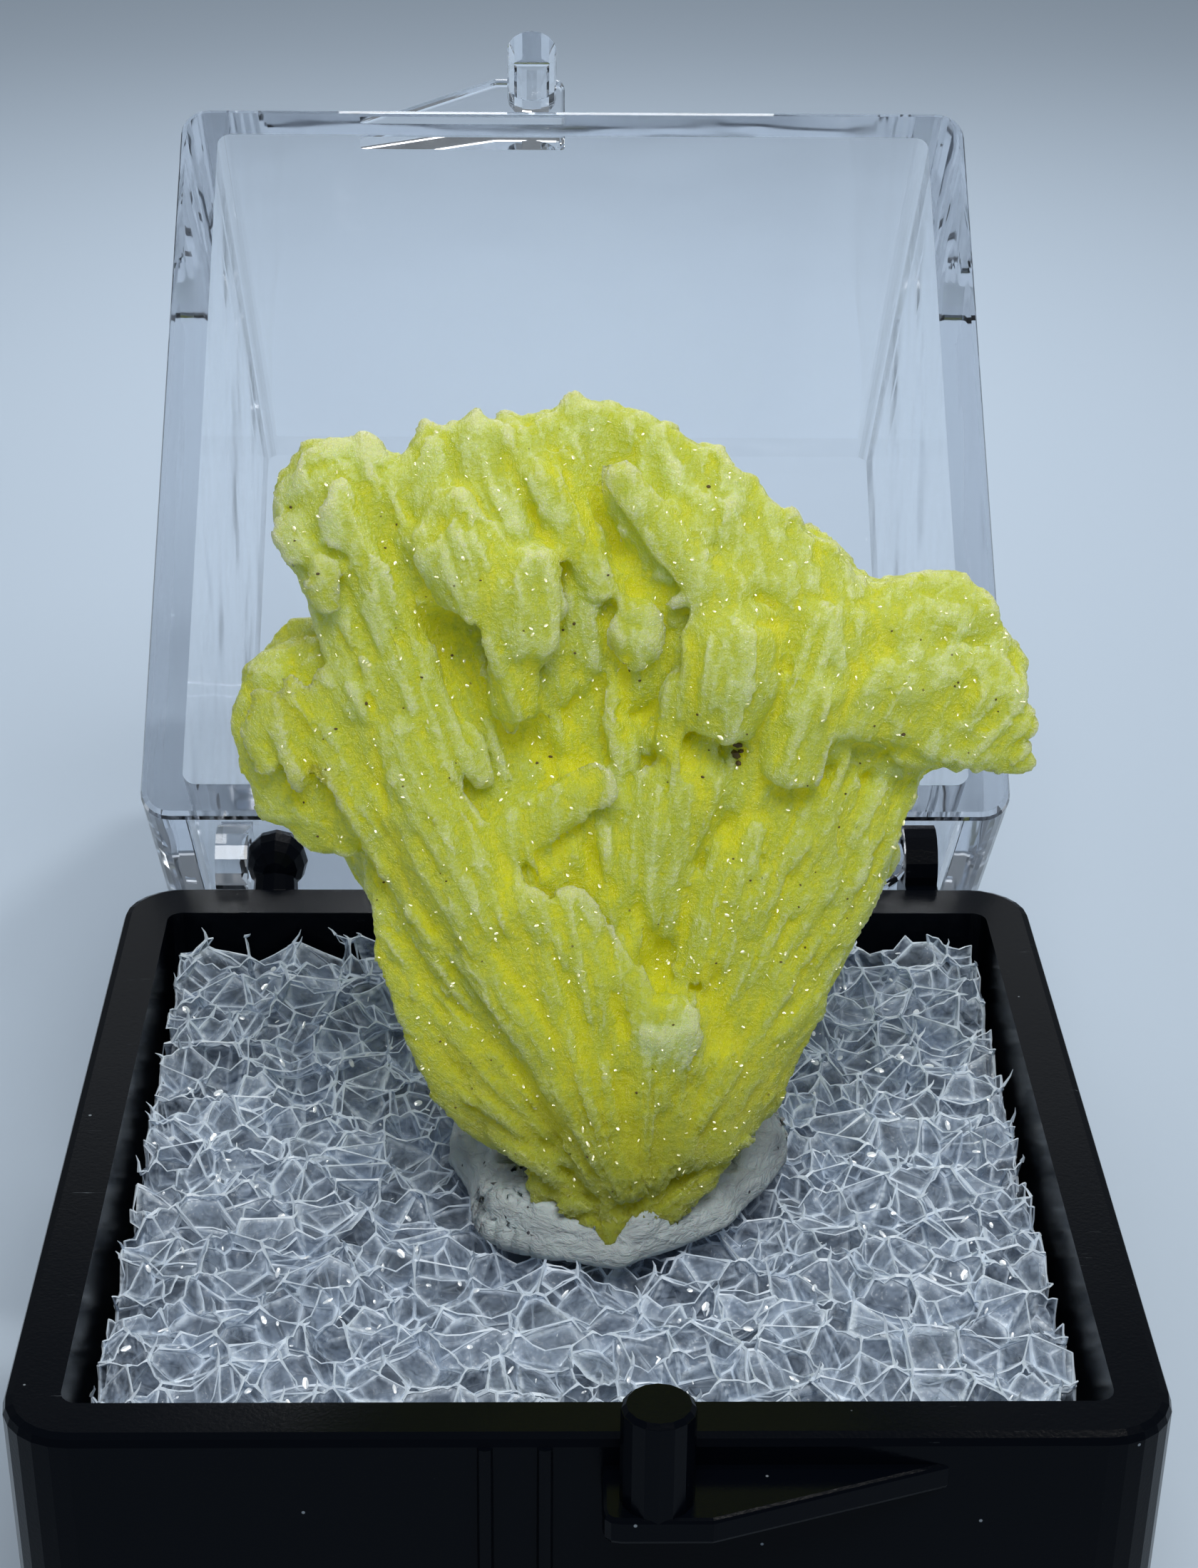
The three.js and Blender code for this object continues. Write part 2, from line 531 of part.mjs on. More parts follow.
const lidHinge = new THREE.Group();
lidHinge.position.set(0, HINGE_Y, HINGE_Z);
lidHinge.rotation.x = -OPEN_ANGLE;
lidHinge.add(namedMesh('lid', lidGeometry(), lidFinish));
specimenBox.add(lidHinge);

export default specimenBox;
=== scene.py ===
"""Looks of a sulfur specimen in its small hinged box: translucent lemon-yellow blades on a lump of putty,
open-faced foam in a glossy black tray, and a clear lid standing open behind."""

import math
import random
from itertools import product

import bmesh
import bpy
import numpy
from mathutils import Matrix, Vector, noise
from mathutils.bvhtree import BVHTree
from mathutils.kdtree import KDTree


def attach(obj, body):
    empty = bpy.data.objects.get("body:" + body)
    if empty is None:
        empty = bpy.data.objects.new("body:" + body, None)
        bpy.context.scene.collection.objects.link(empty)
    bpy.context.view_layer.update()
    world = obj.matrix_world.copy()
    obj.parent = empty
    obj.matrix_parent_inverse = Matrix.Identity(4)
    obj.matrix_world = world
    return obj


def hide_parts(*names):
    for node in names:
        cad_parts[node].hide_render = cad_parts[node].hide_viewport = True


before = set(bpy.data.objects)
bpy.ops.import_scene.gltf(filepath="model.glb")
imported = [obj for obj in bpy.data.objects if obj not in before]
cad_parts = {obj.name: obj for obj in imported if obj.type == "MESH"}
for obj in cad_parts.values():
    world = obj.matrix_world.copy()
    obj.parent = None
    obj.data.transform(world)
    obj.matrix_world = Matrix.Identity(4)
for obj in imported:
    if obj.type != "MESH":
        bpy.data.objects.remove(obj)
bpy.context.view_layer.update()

MM = 0.001

# Blender's vector noise takes its offsets from the clock until it is given a seed
noise.seed_set(5)

# Box and foam, in millimetres
RIM_Z = 18.5
FOAM_HALF_X = 13.75
FOAM_BACK_Y = 13.3
FOAM_FRONT_Y = -13.75
FOAM_FOOT_Z = 1.8
FOAM_TOP_Z = 17.2
FOAM_HIGHEST_Z = 18.1
FOAM_TIP_ROOM = 0.15
FOAM_BACK_RISE = 0.6
FOAM_UNEVENNESS = 0.35
FOAM_PRESSED = 0.2
FOAM_CELL = 1.35
FOAM_STAGGER = 1.08
FOAM_JITTER = 0.62
FOAM_CELLS_DEPTH = 1.9
FOAM_REACH = 3.0 * FOAM_CELL
FOAM_BLANK = 3.2 * FOAM_CELL
FOAM_MARGIN = 0.3
FOAM_FILM = 0.02
FOAM_BULGE = 0.14
FOAM_SLIVER = 0.02
FOAM_LEVEL_EDGE = 0.3
FOAM_THREADS_DEPTH = 1.2
FOAM_THREAD = 0.032
FOAM_KNOT = 0.072
FOAM_THREAD_WAIST = 0.03
FOAM_SHORT_THREAD = 0.08
FOAM_LONG_THREAD = 0.5
FOAM_BEND = 0.2
FOAM_TORN_TIPS = 0.3
FOAM_FLAKES = 220
FOAM_BODY_INSET = 0.5
FOAM_BODY_CUTS = 27
FOAM_BODY_RELIEF = 0.22
CUT_DISTANCE = 1e-5
WELD_DISTANCE = 0.02

# Putty, round the specimen's foot
PUTTY_CENTRE = (0.9, -0.9)
PUTTY_REACH = 6.2
PUTTY_VOXEL = 0.16
PUTTY_SOFTENING = 14
PUTTY_FOLDS = 0.42
PUTTY_ROLLS = 0.2
PUTTY_WRINKLES = 0.06

# Specimen: its own leaning plane starts at the foot, u to the right, v up along it, w to the front
FOOT = Vector((0.7, -5.3, 17.0))
LEAN_BACK = math.radians(15)
# Far enough from the plane to cast back onto the specimen
CAST_FROM = 30
FRONT_SINK = 0.3
BASE_VOXEL = 0.22
BASE_SOFTENING = 9
SULFUR_VOXEL = 0.11
SULFUR_TRIANGLES = 190000

# Fan that the blades follow, and the crystal plates of the skin as breadth, length along the fan, step
# between neighbours, change of paleness
FAN_ROOT = (0.8, 1.2)
FAN_SPREAD = 18.0
FAN_STREAKS = 0.03
PLATES = ((0.7, 2.6, 0.12, 0.1), (0.3, 0.8, 0.05, 0.08))

# Leaves and fine blades
LEAF_WIDENING = 1.15
LEAF_THINNING = 0.66
LEAF_EDGE = 1.45
LEAF_CHIPS = 0.2
LEAF_ROUNDS = 3
BLADES_FRONT = 260
BLADES_BACK = 220
BLADES_U = (-10.5, 12.0)
BLADES_V = (1.5, 25.0)
BLADE_GROUND = 0.45
BLADE_BLUNTNESS = 2.2
BLADE_ROUNDS = 2
BLADE_FACES = 80

# Paleness of the skin, from 0 in the hollows to 1, and what counts as raised relief or as an edge
BODY_PALENESS = 0.4
BLADE_PALENESS = (0.3, 0.7)
HOLLOW_PALENESS = 0.06
HOLLOW_DEPTH = 0.16
PALENESS_ROUNDS = 8
PALENESS_CONTRAST = 0.6
RAISED_ROUNDS = 24
RAISED_RELIEF = 0.4
EDGE_ROUNDS = 4
EDGE_RELIEF = 0.07

# Specks and glints strewn over the front
STREWN_U = (-9.5, 11.5)
STREWN_V = (2, 25)
STREWN_SPECKS = 90
SPECK_RADII = (0.035, 0.06)
STREWN_GLINTS = 800
GLINT_RADII = (0.035, 0.085)
FLAKE_SWAY = 0.09
FLAKE_LIFT = 0.4
FLAKE_THINNESS = 0.12
CRUMB_THINNESS = 0.6

# Photograph's camera
PICTURE_LONG_SIDE = 2199
SENSOR_LONG_SIDE = 36.0
FOCAL_PIXELS = 4431
CAMERA_PLACE = Vector((-1.445, -83.988, 70.436))
CAMERA_PITCH = math.radians(25.619)
CAMERA_YAW = math.radians(-1.25)
CAMERA_ROLL = math.radians(0.63)
NEAREST_SEEN = 5

# Soft lights as name, place, aim, size, watts, tint
KEY_PLACE = (20, -125, 245)
LIGHTS = [
    ("key", KEY_PLACE, (0, 0, 15), (150, 110), 0.42, (1.0, 0.985, 0.95)),
    ("back_card", (0, 185, 105), (0, 0, 20), (190, 60), 0.022, (0.93, 0.97, 1.0)),
    ("floor_pool", (0, 140, 105), (0, 140, 0), (30, 100), 0.055, (0.97, 0.98, 1.0)),
    ("lamp", (70, 60, 260), (0, 0, 15), (26, 26), 0.12, (1.0, 0.98, 0.93)),
]
ROOM_LIGHT = 0.22
TABLE_REACH = 1600
CLEAR_WALL_BOUNCES = 32

# Specimen: leaves and blades as foot u v w, tip u v w, width, thickness, turn, bluntness, paleness
RIDGES = [
    (0.5, 2.3, 0.9, -3.4, 9.4, 1.1, 1.5, 1.6, -12, 2.4, 0.54),
    (-2.2, 7.0, 1.1, -6.0, 16.6, 0.9, 1.7, 1.7, -14, 2.4, 0.52),
    (1.0, 5.6, 1.2, -3.0, 10.6, 1.2, 1.0, 1.2, 8, 2.4, 0.45),
    (-1.9, 9.2, 1.1, -4.4, 13.6, 1.1, 1.2, 1.3, -24, 2.4, 0.43),
    (0.6, 2.2, 1.2, -0.6, 5.4, 1.3, 1.6, 1.0, 6, 2.4, 0.52),
    (0.9, 3.0, 1.1, 0.3, 7.0, 1.2, 1.0, 0.9, 20, 2.3, 0.43),
    (-2.8, 3.4, -0.2, -6.3, 11.6, -0.5, 2.9, 2.2, -10, 2.4, 0.29),
    (-1.8, 3.4, 0.2, -4.6, 8.6, 0.3, 1.8, 1.5, -6, 2.4, 0.22),
    (-1.2, 3.5, 0.4, -2.9, 6.6, 0.5, 1.2, 1.0, -6, 2.4, 0.14),
    (-3.3, 5.0, -0.6, -7.0, 12.4, -1.0, 1.6, 1.7, -30, 2.4, 0.32),
    (-4.9, 9.6, 0.0, -7.3, 17.8, 0.3, 1.5, 1.8, -14, 2.4, 0.36),
    (-5.8, 13.0, 0.4, -7.1, 18.8, 0.6, 1.0, 1.2, 10, 2.4, 0.45),
]
MIDDLE = [
    (-3.5, 12.8, 0.35, 0.2, 14.8, 0.45, 1.3, 0.8, 14, 2.0, 0.9),
    (-2.9, 12.2, 0.4, -0.9, 13.0, 0.5, 1.0, 0.8, 4, 2.0, 0.5),
    (-2.8, 10.4, 0.2, -0.3, 13.8, 0.2, 2.4, 2.0, 0, 2.2, 0.15),
    (-1.6, 12.4, 0.1, 1.0, 14.4, 0.2, 2.2, 1.8, 0, 2.2, 0.15),
    (-0.3, 9.9, 1.2, -1.6, 11.5, 1.3, 1.3, 0.9, 6, 2.4, 0.78),
    (-0.1, 8.9, 1.3, -1.5, 9.9, 1.4, 1.0, 0.8, 10, 2.4, 0.76),
    (0.7, 8.6, 1.3, -0.4, 10.9, 1.35, 0.35, 0.5, 20, 2.4, 0.8),
    (0.0, 10.2, 0.5, 1.7, 15.3, 0.7, 1.7, 1.3, 12, 2.3, 0.64),
    (1.3, 12.4, 0.4, 2.9, 16.4, 0.7, 1.3, 1.1, 20, 2.3, 0.5),
    (2.1, 8.6, 0.5, 4.2, 13.7, 0.6, 1.5, 1.1, 16, 2.4, 0.56),
    (1.5, 9.8, 0.35, 2.3, 12.3, 0.5, 0.9, 0.8, 10, 2.4, 0.45),
    (3.4, 13.4, 0.4, 5.3, 17.4, 0.6, 1.5, 1.2, 14, 2.4, 0.4),
    (0.55, 7.3, 1.4, 2.7, 7.3, 1.3, 2.0, 1.5, 8, 2.4, 1.6),
    (0.3, 5.2, 0.9, 0.4, 9.2, 0.9, 1.5, 1.5, 0, 2.4, 0.5),
    (-0.4, 10.2, 0.6, 0.6, 13.6, 0.4, 1.4, 1.2, 0, 2.4, 0.2),
    (1.2, 5.6, 1.0, 2.9, 6.4, 0.9, 1.2, 1.0, -4, 2.4, 0.7),
    (1.9, 3.3, 0.6, 1.7, 6.2, 1.0, 1.6, 1.4, 4, 2.4, 0.36),
    (3.1, 3.3, 0.2, 2.9, 6.0, 0.6, 1.5, 1.4, -8, 2.4, 0.42),
]
FLANK = [
    (4.3, 4.6, -1.0, 9.0, 15.1, -1.0, 1.1, 1.8, 34, 2.4, 0.6),
    (4.5, 4.8, -0.6, 8.4, 13.6, -0.6, 0.7, 1.0, 30, 2.4, 0.7),
    (5.0, 5.8, -1.6, 8.4, 13.0, -2.0, 1.2, 1.4, 12, 2.4, 0.55),
    (3.7, 3.7, -0.5, 8.0, 14.6, -0.4, 1.0, 1.5, 24, 2.4, 0.58),
    (3.3, 3.6, -0.1, 7.2, 14.9, 0.0, 0.9, 1.4, 18, 2.4, 0.4),
    (2.9, 4.4, 0.1, 6.3, 14.6, 0.2, 0.8, 1.2, 28, 2.4, 0.5),
    (2.8, 6.0, 0.2, 5.4, 14.4, 0.4, 0.7, 1.1, 12, 2.4, 0.34),
    (2.6, 6.0, 0.3, 4.7, 12.2, 0.5, 0.7, 1.0, 30, 2.4, 0.45),
]
FOOT_BITS = [
    (0.0, -0.05, 0.8, 0.2, 3.6, 0.7, 1.1, 1.6, 10, 2.0, 0.3),
    (-0.05, 0.1, 0.7, -1.6, 3.4, 0.4, 1.0, 1.5, -12, 2.0, 0.2),
    (0.1, 0.1, 0.7, 1.5, 3.2, 0.5, 1.1, 1.5, 12, 2.0, 0.26),
    (0.5, 0.7, 0.5, 3.5, 3.4, -0.1, 1.0, 1.7, 10, 2.1, 0.24),
    (-1.7, 1.2, 0.2, -2.2, 3.6, 0.2, 0.8, 1.3, -10, 2.1, 0.2),
    (-3.4, 3.6, 0.2, -0.9, 3.25, 1.1, 0.5, 0.7, 20, 2.1, 0.75),
    (-0.9, 3.3, 1.1, 0.7, 2.3, 1.3, 0.5, 0.6, 20, 2.1, 0.7),
    (0.7, 2.6, 1.2, 4.3, 3.8, 0.2, 0.45, 0.8, 20, 2.1, 0.7),
    (-1.6, 1.95, 1.0, -0.5, 2.05, 1.1, 0.45, 0.4, 20, 2.2, 0.6),
]
# Own leaves along the crest, in front of the solid's
CREST = [
    (-6.4, 14.0, -0.2, -7.1, 23.8, 0.2, 2.8, 2.6, -8, 2.4, 0.5),
    (-6.0, 19.0, 0.6, -6.0, 23.6, 0.3, 1.2, 1.6, 14, 2.4, 0.6),
    (-5.35, 19.6, 0.8, -5.25, 24.9, 0.1, 1.1, 1.6, -20, 2.4, 0.62),
    (-4.2, 20.4, 0.8, -3.9, 25.25, 0.0, 1.3, 1.8, 20, 2.4, 0.56),
    (-3.2, 20.6, 0.8, -3.0, 25.15, -0.1, 1.3, 1.8, 0, 2.4, 0.6),
    (-2.3, 21.2, 0.4, -2.0, 25.1, -0.3, 1.2, 1.8, 16, 2.4, 0.5),
    (-1.2, 21.0, 0.2, -1.1, 25.7, -0.5, 1.2, 1.8, -12, 2.4, 0.62),
    (-0.1, 20.8, 0.1, -0.1, 25.5, -0.6, 1.4, 1.8, 8, 2.4, 0.5),
    (1.1, 20.6, 0.4, 0.7, 25.0, -0.5, 1.2, 1.8, 16, 2.4, 0.55),
    (2.5, 20.6, 0.6, 1.4, 24.8, -0.4, 1.1, 1.7, 20, 2.4, 0.75),
    (3.3, 20.4, 0.7, 2.2, 24.3, -0.5, 0.9, 1.7, 24, 2.4, 0.6),
    (3.9, 20.0, 0.7, 3.0, 23.7, -0.5, 0.9, 1.7, 22, 2.4, 0.66),
    (4.5, 19.5, 0.7, 3.8, 22.9, -0.5, 1.0, 1.7, 22, 2.4, 0.58),
    (5.1, 19.0, 0.7, 4.6, 22.2, -0.5, 1.1, 1.7, 18, 2.4, 0.6),
    (5.9, 18.4, 0.6, 5.4, 21.7, -0.5, 1.1, 1.7, 18, 2.4, 0.66),
    (6.6, 18.0, 0.6, 6.3, 21.0, -0.5, 1.2, 1.7, 14, 2.4, 0.6),
    (7.2, 17.8, 0.4, 7.1, 20.4, -0.4, 1.1, 1.6, 14, 2.4, 0.62),
]
UPPER = [
    (-1.4, 17.0, 0.1, -0.7, 21.6, 0.4, 2.6, 1.7, 0, 2.4, 0.1),
    (0.8, 16.6, 0.1, 0.6, 21.8, 0.4, 2.6, 1.7, 0, 2.4, 0.1),
    (2.6, 16.8, 0.1, 2.0, 21.6, 0.4, 2.6, 1.7, 0, 2.4, 0.15),
    (0.7, 18.6, 0.4, 0.2, 21.0, 0.6, 1.6, 1.3, 10, 2.2, 0.3),
    (2.2, 18.4, 0.4, 2.2, 20.6, 0.6, 1.5, 1.3, -10, 2.2, 0.35),
    (2.0, 20.2, 0.8, -0.3, 23.8, 0.9, 1.5, 0.9, 18, 2.0, 0.95),
    (-0.5, 19.3, 0.9, -2.2, 24.1, 0.9, 1.0, 0.9, 14, 2.3, 0.85),
    (-3.6, 20.4, 1.2, -4.9, 22.9, 1.2, 1.6, 1.0, -14, 2.4, 0.82),
    (-2.5, 21.2, 1.0, -3.1, 22.9, 0.9, 1.0, 0.9, -8, 2.4, 0.8),
    (-2.2, 18.9, 1.3, -2.4, 21.2, 1.3, 1.6, 1.0, 4, 2.4, 0.78),
    (-2.4, 17.9, 1.2, -2.4, 19.3, 1.3, 1.3, 0.8, 0, 2.4, 0.55),
    (-3.2, 17.9, 1.1, -3.6, 20.6, 1.4, 0.5, 0.8, 20, 2.4, 0.8),
    (-2.9, 15.9, 0.7, -3.0, 18.2, 1.0, 0.65, 0.8, -8, 2.4, 0.7),
    (-1.5, 16.6, 0.3, -1.6, 19.0, 0.8, 0.8, 0.9, 0, 2.4, 0.35),
    (0.7, 17.9, 1.0, 0.7, 20.0, 1.1, 1.4, 0.9, 0, 2.4, 0.62),
    (1.9, 16.1, 0.7, 1.8, 17.9, 1.0, 0.9, 0.8, 6, 2.3, 0.72),
    (1.5, 19.7, 1.2, 3.2, 20.6, 1.1, 0.6, 0.6, 10, 2.3, 0.95),
    (3.2, 17.2, 1.0, 4.0, 19.9, 1.2, 2.3, 1.4, 0, 2.1, 0.66),
    (3.0, 15.8, 0.7, 3.3, 18.0, 0.9, 1.5, 1.1, 0, 2.1, 0.5),
    (4.4, 16.2, 0.6, 4.8, 18.6, 0.7, 1.2, 1.1, 12, 2.2, 0.4),
    (5.8, 16.3, 0.7, 5.9, 19.9, 0.9, 1.8, 1.3, 4, 2.4, 0.66),
    (5.4, 14.9, 0.5, 6.0, 17.6, 0.7, 2.2, 1.3, -8, 2.4, 0.36),
    (7.0, 16.0, 0.5, 7.1, 19.6, 0.5, 1.2, 1.3, -18, 2.4, 0.6),
    (4.6, 18.4, 0.6, 4.3, 21.0, 0.6, 1.0, 1.0, 10, 2.4, 0.55),
    (1.8, 20.8, 0.9, 2.6, 23.1, 0.5, 1.1, 1.0, 14, 2.4, 0.5),
    (3.0, 21.0, 0.8, 3.3, 22.9, 0.4, 0.9, 1.0, 20, 2.4, 0.62),
    (-6.2, 18.0, 0.6, -6.9, 21.4, 0.9, 1.2, 1.1, 10, 2.4, 0.6),
    (-5.6, 20.0, 0.8, -5.9, 22.2, 1.0, 0.8, 0.9, -12, 2.4, 0.6),
    (-5.3, 16.9, 0.5, -6.6, 19.2, 0.6, 1.0, 0.9, -8, 2.4, 0.5),
    (-5.0, 15.4, 0.7, -6.2, 17.6, 0.8, 0.9, 0.8, 12, 2.4, 0.58),
    (-4.4, 14.0, 0.8, -5.3, 16.4, 0.8, 0.9, 0.8, -10, 2.4, 0.6),
    (-3.6, 14.3, 0.5, -4.3, 16.4, 0.5, 0.6, 0.7, 0, 2.3, 0.45),
    (-1.1, 14.6, 0.0, -1.9, 16.8, 0.3, 0.8, 0.8, 14, 2.4, 0.3),
    (0.2, 15.0, 0.1, 0.1, 17.6, 0.5, 0.8, 0.9, -20, 2.4, 0.4),
]
WING = [
    (6.9, 18.7, 0.2, 11.0, 19.4, -0.4, 2.4, 1.8, 10, 2.4, 0.55),
    (6.6, 17.9, 0.6, 11.9, 17.4, 0.0, 1.7, 1.4, -6, 2.4, 0.62),
    (6.6, 17.0, 0.6, 12.2, 16.1, 0.1, 1.3, 1.2, 6, 2.4, 0.5),
    (7.2, 16.4, 0.4, 12.4, 15.0, 0.0, 1.1, 1.2, 12, 2.4, 0.56),
    (7.4, 19.3, -0.2, 10.3, 20.3, -0.6, 1.4, 1.5, 0, 2.4, 0.5),
    (8.9, 19.8, -0.3, 11.9, 17.6, -0.4, 1.3, 1.4, 24, 2.4, 0.52),
    (8.0, 15.6, 0.1, 10.4, 15.0, -0.2, 0.9, 1.1, 10, 2.4, 0.4),
    (10.2, 17.3, 0.3, 12.2, 16.5, 0.2, 0.5, 0.6, 20, 2.3, 0.6),
]
LUMPS = [
    (-8.9, 22.2, 0.5, -9.1, 23.5, 0.3, 0.9, 0.7, 10, 2.2, 0.85),
    (-8.5, 23.0, 0.6, -8.5, 24.1, 0.4, 0.8, 0.7, -20, 2.2, 0.95),
    (-8.9, 20.8, 0.9, -9.0, 22.4, 0.8, 1.2, 0.7, 15, 2.4, 0.6),
    (-7.6, 21.2, 1.2, -7.7, 23.3, 1.1, 1.0, 0.7, -12, 2.4, 0.75),
    (-8.1, 19.4, 1.1, -8.3, 21.2, 1.1, 1.0, 0.7, 12, 2.4, 0.5),
    (-9.9, 14.6, 0.0, -10.0, 17.2, 0.0, 1.2, 0.6, 14, 2.4, 0.35),
    (-9.0, 14.2, 0.3, -9.2, 17.7, 0.2, 1.0, 0.6, -10, 2.4, 0.45),
    (-8.1, 14.4, 0.5, -8.3, 17.9, 0.4, 1.0, 0.6, 10, 2.4, 0.42),
    (-9.2, 13.4, -0.9, -9.35, 18.3, -0.9, 3.1, 2.2, 0, 2.4, 0.3),
    (-8.3, 12.2, -0.8, -8.6, 18.6, -0.8, 2.6, 2.4, 0, 2.4, 0.32),
    (-7.6, 12.2, -0.6, -7.7, 18.6, -0.5, 2.0, 2.4, 0, 2.4, 0.4),
    (-8.0, 20.2, 0.1, -8.1, 24.3, 0.1, 2.8, 2.4, 0, 2.4, 0.42),
    (-7.5, 18.2, 0.0, -7.9, 22.6, 0.2, 1.9, 2.2, 0, 2.4, 0.4),
    (-7.8, 22.9, 0.3, -7.9, 24.4, 0.2, 1.2, 1.2, 0, 2.3, 0.95),
    (-6.9, 23.2, 0.4, -6.9, 24.5, 0.2, 0.9, 1.1, 0, 2.3, 0.9),
]
# Hollows between the leaves as u v from, u v to, width, depth
HOLLOWS = [
    (-3.0, 24.0, -2.3, 22.3, 0.45, 0.8),
    (-2.3, 22.4, -1.3, 20.3, 0.4, 0.7),
    (-1.5, 23.6, 0.1, 21.3, 0.8, 0.8),
    (0.1, 21.4, 0.8, 20.2, 0.9, 0.9),
    (-5.1, 19.8, -4.3, 17.6, 1.3, 1.0),
    (-4.3, 17.8, -2.9, 15.8, 0.8, 0.8),
    (-2.35, 18.0, -2.2, 15.2, 0.5, 0.8),
    (-1.35, 18.4, -1.2, 15.8, 0.4, 0.6),
    (-2.3, 15.7, -0.9, 14.9, 0.8, 0.7),
    (4.2, 20.0, 4.7, 19.1, 0.5, 0.5),
    (0.4, 18.2, 0.4, 16.0, 0.7, 0.7),
    (1.0, 16.6, 1.8, 15.5, 0.7, 0.6),
    (7.1, 18.0, 6.4, 16.5, 0.5, 0.7),
    (-6.9, 17.0, -6.5, 13.8, 0.4, 0.8),
    (-5.5, 16.6, -5.4, 16.1, 0.3, 0.4),
    (-6.5, 13.4, -5.1, 10.3, 0.6, 0.7),
    (-1.0, 13.2, 0.0, 11.4, 0.6, 0.9),
    (0.8, 10.8, 1.5, 8.8, 0.7, 0.8),
    (0.1, 8.3, 0.4, 7.4, 0.4, 0.5),
    (2.9, 9.0, 3.5, 6.4, 0.7, 0.5),
    (-2.7, 6.2, -1.6, 4.3, 0.6, 0.6),
    (0.3, 5.6, 0.8, 3.4, 0.7, 0.6),
    (-3.8, 10.4, -2.0, 8.0, 0.35, 0.5),
    (-2.0, 8.0, -1.1, 6.4, 0.3, 0.5),
    (2.2, 15.4, 2.9, 13.6, 0.5, 0.4),
    (3.3, 12.4, 4.3, 14.6, 0.5, 0.5),
    (4.8, 15.4, 4.7, 18.0, 0.5, 0.6),
    (2.2, 18.9, 2.3, 16.6, 0.4, 0.5),
    (-3.3, 20.9, -3.5, 19.9, 0.3, 0.4),
]
# Specks and glints of the front as u v and radius; the first four specks make up the larger inclusion
SPECKS = [
    (3.6, 15.7, 0.17), (3.55, 15.4, 0.2), (3.62, 15.15, 0.15), (3.7, 15.5, 0.12),
    (2.6, 14.8, 0.07), (-8.3, 20.65, 0.07), (-6.1, 22.0, 0.07), (-7.0, 16.9, 0.09),
    (-7.9, 16.1, 0.07), (-1.75, 15.2, 0.08), (-1.1, 19.2, 0.07), (-1.4, 19.0, 0.06),
    (0.5, 17.8, 0.07), (2.7, 23.05, 0.09), (8.35, 16.0, 0.08), (9.9, 17.5, 0.06), (11.0, 17.0, 0.07),
]
GLINTS = [
    (2.9, 15.9, 0.16), (3.05, 16.05, 0.13), (3.2, 16.15, 0.1), (3.6, 15.0, 0.07), (3.9, 15.5, 0.07),
    (3.3, 11.1, 0.1), (3.35, 10.7, 0.09), (3.45, 10.3, 0.08), (-0.8, 4.5, 0.12), (-0.65, 4.1, 0.12),
    (-0.5, 3.7, 0.1), (9.55, 18.7, 0.09), (9.85, 18.3, 0.08), (8.35, 17.5, 0.08), (10.4, 17.5, 0.08),
    (11.65, 17.2, 0.1), (11.8, 16.9, 0.1), (-6.9, 18.0, 0.08), (-5.5, 19.1, 0.08), (1.2, 19.9, 0.07),
    (8.9, 13.9, 0.1), (8.6, 13.1, 0.1), (8.3, 12.4, 0.1), (7.9, 11.6, 0.1), (7.6, 10.9, 0.09),
]


class Value:
    """A socket of a finish that takes part in Python sums. Each operation adds one node."""

    def __init__(self, finish, socket):
        self.finish = finish
        self.socket = socket

    def sum(self, operation, *others):
        return self.finish.node("ShaderNodeMath", {"operation": operation}, dict(enumerate([self, *others])))

    def __add__(self, other):
        return self.sum("ADD", other)

    __radd__ = __add__

    def __mul__(self, other):
        return self.sum("MULTIPLY", other)

    def __sub__(self, other):
        return self.sum("SUBTRACT", other)

    def __rsub__(self, other):
        return self.finish.node("ShaderNodeMath", {"operation": "SUBTRACT"}, {0: other, 1: self})

    def least(self, other):
        return self.sum("MINIMUM", other)

    def most(self, other):
        return self.sum("MAXIMUM", other)

    def rise(self, low, high):
        """0 below low, 1 above high and a smooth step between; falls instead where high is the smaller."""
        limits = {"Value": self, "From Min": low, "From Max": high}
        return self.finish.node("ShaderNodeMapRange", {"interpolation_type": "SMOOTHSTEP"}, limits)


